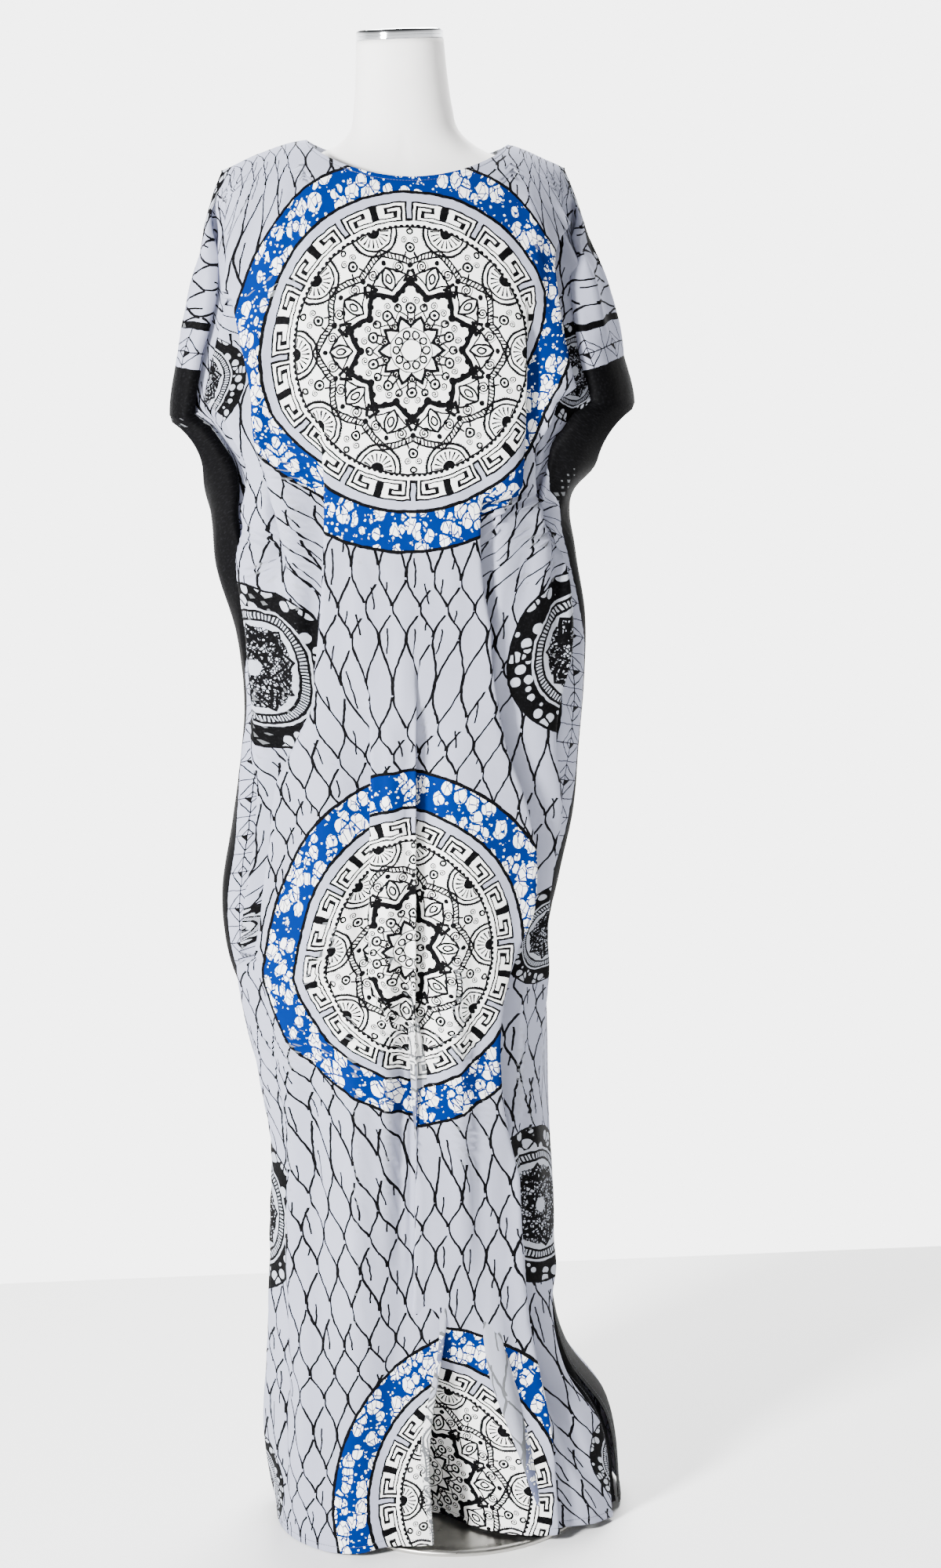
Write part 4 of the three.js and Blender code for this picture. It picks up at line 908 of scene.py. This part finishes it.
# A thin shell: the right side, the wrong side and the cut edge between them.
def clothPiece(name, points, normals, flat, front, node):
    rows, columns = points.shape[:2]
    count = rows * columns
    layers = np.concatenate([points.reshape(-1, 3), (points - normals * cloth["thickness"]).reshape(-1, 3)])
    index = np.arange(count).reshape(rows, columns)
    quads = np.stack([index[:-1, :-1], index[1:, :-1], index[1:, 1:], index[:-1, 1:]], axis=-1).reshape(-1, 4)
    outer = quads if front else quads[:, ::-1]
    inner = outer[:, ::-1] + count
    rim = np.concatenate([index[:-1, 0], index[-1, :-1], index[:0:-1, -1], index[0, :0:-1]])
    following = np.roll(rim, -1)
    edge = np.stack([rim, rim + count, following + count, following], axis=-1)
    edge = edge if front else edge[:, ::-1]
    faces = np.concatenate([outer, inner, edge])
    kinds = np.concatenate([np.zeros(len(outer)), np.ones(len(inner)), np.zeros(len(edge))]).astype(np.int32)
    piece = meshPiece(name, layers / 1000, faces, [cotton, cottonWrongSide], kinds)
    mesh = piece.data
    uv = mesh.uv_layers.new(name="flatCloth")
    corners = np.zeros(len(mesh.loops), dtype=np.int32)
    mesh.loops.foreach_get("vertex_index", corners)
    places = np.concatenate([flat.reshape(-1, 2)] * 2) / 1000
    uv.data.foreach_set("uv", places[corners].astype(np.float32).ravel())
    ends = np.zeros(len(mesh.edges) * 2, dtype=np.int32)
    mesh.edges.foreach_get("vertices", ends)
    ends = ends.reshape(-1, 2)
    onRim = np.zeros(2 * count, dtype=bool)
    onRim[rim] = True
    onRim[rim + count] = True
    sameLayer = (ends[:, 0] < count) == (ends[:, 1] < count)
    sharp = mesh.attributes.new("sharp_edge", "BOOLEAN", "EDGE")
    sharp.data.foreach_set("value", onRim[ends[:, 0]] & onRim[ends[:, 1]] & sameLayer)
    return finishPiece(piece, node)


dressFront = clothPiece("dressFront", frontPoints, frontNormals, frontFlat, True, "dress_front")
dressBack = clothPiece("dressBack", backPoints, backNormals, backFlat, False, "dress_back")
print("dress made:", len(dressFront.data.polygons), "faces in the front")


# Lines of stitches: round the neckline and the hem, and down each side where the halves are joined.
def stitchPaths():
    paths = []
    for points, normals, flat in halves:
        outer = points + normals * 0.12
        across = flat[:, :, 0]
        neckRow = neckRows.index(6.8)
        hemRow = len(bases) - len(hemRows) + hemRows.index(1513)
        paths.append(outer[neckRow][np.abs(across[neckRow]) < cloth["neckHalfWidth"] - 1])
        paths.append(outer[hemRow][2:-2])
        for near in (slice(0, 24), slice(-1, -25, -1)):
            inside = cloth["halfWidth"] - np.abs(across[:, near])
            rows = np.nonzero(np.abs(flat[:, near.start, 1]) > cloth["cuffDepth"] + 4)[0]
            line = [[np.interp(9, inside[row], outer[row, near, k]) for k in range(3)] for row in rows]
            paths.append(np.array(line))
    return paths


# Sewing thread, spun polyester in dark grey: a little shine.
def threadMaterial():
    material, tree, surface = newMaterial("sewingThread")
    ply = addNode(tree, "TexNoise", addNode(tree, "TexCoord", output=3), Scale=900.0, Detail=1.0)
    tone = addNode(tree, "Mix", ply, linear("#3A3B40"), linear("#5A5C63"), data_type="RGBA")
    tree.links.new(addNode(tree, "BsdfPrincipled", Base_Color=tone, Roughness=0.55), surface)
    return material


stitchSizes = {"pitch": 0.0031, "length": 0.0023, "radius": 0.00024}


def stitchRow():
    vertices, edges = [], []
    for path in stitchPaths():
        first = len(vertices)
        vertices += [tuple(point / 1000) for point in path]
        edges += [(first + k, first + k + 1) for k in range(len(path) - 1)]
    mesh = bpy.data.meshes.new("stitchLines")
    mesh.from_pydata(vertices, edges, [])
    lines = bpy.data.objects.new("stitchLines", mesh)
    bpy.context.scene.collection.objects.link(lines)
    tree = bpy.data.node_groups.new("stitchRow", "GeometryNodeTree")
    tree.interface.new_socket("lines", in_out="INPUT", socket_type="NodeSocketGeometry")
    sockets = {}
    for key in stitchSizes:
        sockets[key] = tree.interface.new_socket(key, in_out="INPUT", socket_type="NodeSocketFloat")
    tree.interface.new_socket("stitches", in_out="OUTPUT", socket_type="NodeSocketGeometry")
    start = tree.nodes.new("NodeGroupInput")
    end = tree.nodes.new("NodeGroupOutput")
    given = start.outputs
    curve = addNode(tree, "MeshToCurve", given["lines"])
    spaced = addNode(tree, "ResampleCurve", curve, mode="LENGTH", Length=given["pitch"])
    stitch = addNode(tree, "MeshCylinder", Vertices=5, Radius=given["radius"], Depth=given["length"])
    turn = addNode(tree, "FunctionNodeAlignRotationToVector", axis="Z", Vector=addNode(tree, "InputTangent"))
    uneven = addNode(tree, "FunctionNodeRandomValue", 0.85, 1.08, None, 3, data_type="FLOAT")
    placed = addNode(tree, "InstanceOnPoints", spaced, Instance=stitch, Rotation=turn, Scale=uneven)
    real = addNode(tree, "RealizeInstances", placed)
    tree.links.new(addNode(tree, "SetMaterial", real, Material=threadMaterial()), end.inputs[0])
    modifier = lines.modifiers.new("stitchRow", "NODES")
    modifier.node_group = tree
    for key, value in stitchSizes.items():
        modifier[sockets[key].identifier] = value
    made = bpy.data.meshes.new_from_object(lines.evaluated_get(bpy.context.evaluated_depsgraph_get()))
    lines.modifiers.remove(modifier)
    bpy.data.objects.remove(lines)
    stitches = bpy.data.objects.new("stitches", made)
    bpy.context.scene.collection.objects.link(stitches)
    return finishPiece(stitches)


stitches = stitchRow()
print("stitches sewn:", len(stitches.data.polygons), "faces")

# The form: a smooth body in knitted jersey, a little inside its solid so that the cloth clears it.
form = {"sides": 128, "steps": 150, "roundness": 2.25, "tilt": 0.04, "inset": 0.8}
formRows = np.array([
    (792, 96, 70, 0), (800, 112, 82, 0), (880, 120, 92, 0), (960, 114, 88, 0), (1050, 102, 78, 0),
    (1140, 112, 84, 4), (1220, 124, 88, 8), (1290, 132, 88, 10), (1350, 142, 80, 6), (1395, 156, 70, 2),
    (1420, 158, 62, 0), (1438, 150, 53, 0), (1450, 132, 45, 0), (1460, 108, 40, 0), (1470, 80, 39, 0),
    (1488, 57, 43, 0), (1510, 51, 44, 0), (1545, 47, 44, 0), (1579, 45, 44, 0),
], dtype=float)


# Cotton jersey, knitted and pulled tight over the form: matt white with a very fine rib.
def jerseyMaterial():
    material, tree, surface = newMaterial("whiteJersey")
    place = addNode(tree, "TexCoord", output=3)
    cloudy = addNode(tree, "TexNoise", place, Scale=22.0, Detail=3.0)
    tone = addNode(tree, "Mix", cloudy, linear("#F1EFED"), linear("#FAF8F6"), data_type="RGBA")
    # Stitches of about 0.6 mm, drawn at 1.2 mm so that the knit shows.
    rib = addNode(tree, "TexWave", place, Scale=420.0, Distortion=0.6, bands_direction="X")
    course = addNode(tree, "TexWave", place, Scale=520.0, Distortion=0.4, bands_direction="Z")
    knit = addNode(tree, "Math MULTIPLY", rib, course)
    relief = addNode(tree, "Bump", Strength=0.25, Distance=0.0004, Height=knit)
    shader = addNode(tree, "BsdfPrincipled", Base_Color=tone, Roughness=0.85, Sheen_Weight=0.25,
                     Normal=relief)
    tree.links.new(shader, surface)
    return material


# Metal with a turned finish: fine rings round the axis spread the reflections a little.
def metalMaterial(name, colour, roughness, rings):
    material, tree, surface = newMaterial(name)
    place = addNode(tree, "TexCoord", output=3)
    grain = addNode(tree, "TexNoise", place, Scale=90.0, Detail=4.0)
    rough = addNode(tree, "MapRange", grain, 0.3, 0.7, roughness * 0.8, roughness * 1.25)
    turned = addNode(tree, "TexWave", place, Scale=rings, Distortion=0.3, wave_type="RINGS",
                     rings_direction="Z")
    relief = addNode(tree, "Bump", Strength=0.08, Distance=0.0001, Height=turned)
    shader = addNode(tree, "BsdfPrincipled", Base_Color=linear(colour), Metallic=1.0, Roughness=rough,
                     Normal=relief)
    tree.links.new(shader, surface)
    return material


jersey = jerseyMaterial()
chromeCap = metalMaterial("polishedChrome", "#D6D8DB", 0.1, 300.0)
satinSteel = metalMaterial("satinSteel", "#B9B7B2", 0.34, 500.0)


# Rings of points from the bottom up, closed by one point at the foot and one at the crown.
def ringFaces(rows, sides):
    index = np.arange(rows * sides).reshape(rows, sides)
    onward = np.roll(index, -1, axis=1)
    faces = np.stack([index[:-1], onward[:-1], onward[1:], index[1:]], axis=-1).reshape(-1, 4).tolist()
    foot, crown = rows * sides, rows * sides + 1
    faces += [(foot, b, a) for a, b in zip(index[0].tolist(), onward[0].tolist())]
    faces += [(crown, a, b) for a, b in zip(index[-1].tolist(), onward[-1].tolist())]
    return faces


def formPiece():
    f = form
    heights = np.linspace(formRows[0, 0], formRows[-1, 0], f["steps"])
    turns = np.arange(f["sides"]) / f["sides"] * 2 * math.pi
    c, s = np.cos(turns), np.sin(turns)
    wide = along(formRows, 1, heights)[:, None] - f["inset"]
    deep = along(formRows, 2, heights)[:, None] - f["inset"]
    forward = along(formRows, 3, heights)[:, None]
    power = 2 / f["roundness"]
    x = np.sign(c) * wide * np.abs(c) ** power
    y = np.sign(s) * deep * np.abs(s) ** power - forward
    tilted = (smooth(heights, 1290, 1395) * (1 - smooth(heights, 1466, 1500)))[:, None]
    z = heights[:, None] - f["tilt"] * x * tilted
    # Seams: down the middle of the front and back, and round the foot of the neck.
    neckSeam = 1492 - 12 * np.cos(turns)[None, :] ** 2 + 6 * np.sin(turns)[None, :]
    seam = 0.9 * np.exp(-(x / 1.6) ** 2) * (z < neckSeam)
    seam = seam + 0.8 * np.exp(-((z - neckSeam) / 2.2) ** 2)
    radial = np.hypot(x, y + forward)
    x = x * (1 - seam / radial)
    y = (y + forward) * (1 - seam / radial) - forward
    rings = np.stack([x, y, z], axis=-1).reshape(-1, 3)
    lowest = [0, 0, heights[0]]
    highest = [0, -formRows[-1, 3], heights[-1]]
    points = np.concatenate([rings, [lowest, highest]]) / 1000
    piece = meshPiece("formBody", points, ringFaces(f["steps"], f["sides"]), [jersey])
    return finishPiece(piece, "form_torso")


# A turned piece from radius and height pairs in millimetres.
def turnedPiece(name, profile, sides, material, node):
    turns = np.arange(sides) / sides * 2 * math.pi
    rings = [[(r * math.cos(a), r * math.sin(a), z) for a in turns] for r, z in profile]
    points = np.array(rings).reshape(-1, 3)
    points = np.concatenate([points, [[0, 0, profile[0][1]], [0, 0, profile[-1][1]]]]) / 1000
    piece = meshPiece(name, points, ringFaces(len(profile), sides), [material])
    piece.data.set_sharp_from_angle(angle=math.radians(38))
    return finishPiece(piece, node)


formBody = formPiece()
turnedPiece("neckCap", [
    (41.5, 1579.3), (43.6, 1579.3), (44.1, 1579.9), (44.1, 1582.2), (43.4, 1582.6), (43.4, 1583.2),
    (44.1, 1583.6), (44.1, 1586.6), (43.6, 1588.1), (42.4, 1589.1), (30, 1589.6), (12, 1589.9),
], 128, chromeCap, "neck_cap")
turnedPiece("standBase", [
    (100, 0), (141, 0), (142, 0.8), (142, 3.4), (141.2, 4.6), (139.8, 5.6), (138, 6), (136.4, 5.9),
    (135, 5.2), (134, 4.6), (120, 5.0), (60, 6.9), (30, 8.0), (20, 9.0), (14, 9.0),
], 160, satinSteel, "stand_base")
for name in ("form_flange", "stand_pole"):
    nodes[name].data.materials.clear()
    nodes[name].data.materials.append(satinSteel)
print("form and stand made")


# Each half is a rectangle less its half of the oval neck hole, in square metres.
def cutArea(neckDrop):
    hole = math.pi * cloth["neckHalfWidth"] * neckDrop / 2
    return (2 * cloth["halfWidth"] * cloth["drop"] - hole) / 1e6


frontArea, backArea = cutArea(cloth["neckFrontDrop"]), cutArea(cloth["neckBackDrop"])

# Studio: a pale floor whose far edge meets a pale surround, and soft lights.
studio = {"floorColour": "#FAFAF9", "cloudColour": "#F6F6F5", "behind": 0.73, "width": 9.0}


def studioFloor():
    material, tree, surface = newMaterial("paleFloor")
    cloudy = addNode(tree, "TexNoise", addNode(tree, "TexCoord", output=3), Scale=1.5, Detail=2.0)
    tone = addNode(tree, "Mix", cloudy, linear(studio["cloudColour"]), linear(studio["floorColour"]),
                   data_type="RGBA")
    tree.links.new(addNode(tree, "BsdfPrincipled", Base_Color=tone, Roughness=0.9), surface)
    half, back = studio["width"] / 2, studio["behind"]
    corners = [(-half, -half, 0), (half, -half, 0), (half, back, 0), (-half, back, 0)]
    meshPiece("studioFloor", corners, [(0, 1, 2, 3)], [material])


studioFloor()
# The surround is a pale band at eye level, brightest where the backdrop stands, and dim above it.
world = bpy.data.worlds.new("softSurround")
world.use_nodes = True
tree = world.node_tree
towardBack, upwards = addNode(tree, "SeparateXYZ", addNode(tree, "TexCoord"), output=slice(1, 3))
band = addNode(tree, "MapRange", upwards, 0.05, 0.34, 5.2, 0.25)
strength = addNode(tree, "Math MULTIPLY", band, addNode(tree, "MapRange", towardBack, 0.1, 0.85, 0.36, 1.0))
tree.links.new(strength, tree.nodes["Background"].inputs[1])
tree.nodes["Background"].inputs[0].default_value = (1.0, 1.0, 1.0, 1.0)
bpy.context.scene.world = world


def softLight(name, place, target, size, power):
    data = bpy.data.lights.new(name, "AREA")
    data.shape = "SQUARE"
    data.size = size
    data.energy = power
    light = bpy.data.objects.new(name, data)
    light.location = place
    light.rotation_euler = (Vector(target) - Vector(place)).to_track_quat("-Z", "Y").to_euler()
    bpy.context.scene.collection.objects.link(light)


softLight("keyLight", (-2.1, -2.3, 1.9), (0, 0, 0.8), 0.6, 400)
softLight("topLight", (0.2, 1.4, 3.0), (0, 0.1, 0), 1.6, 280)
softLight("backLight", (0.6, 2.8, 2.8), (0, 0, 1.0), 2.0, 50)
print("studio set")
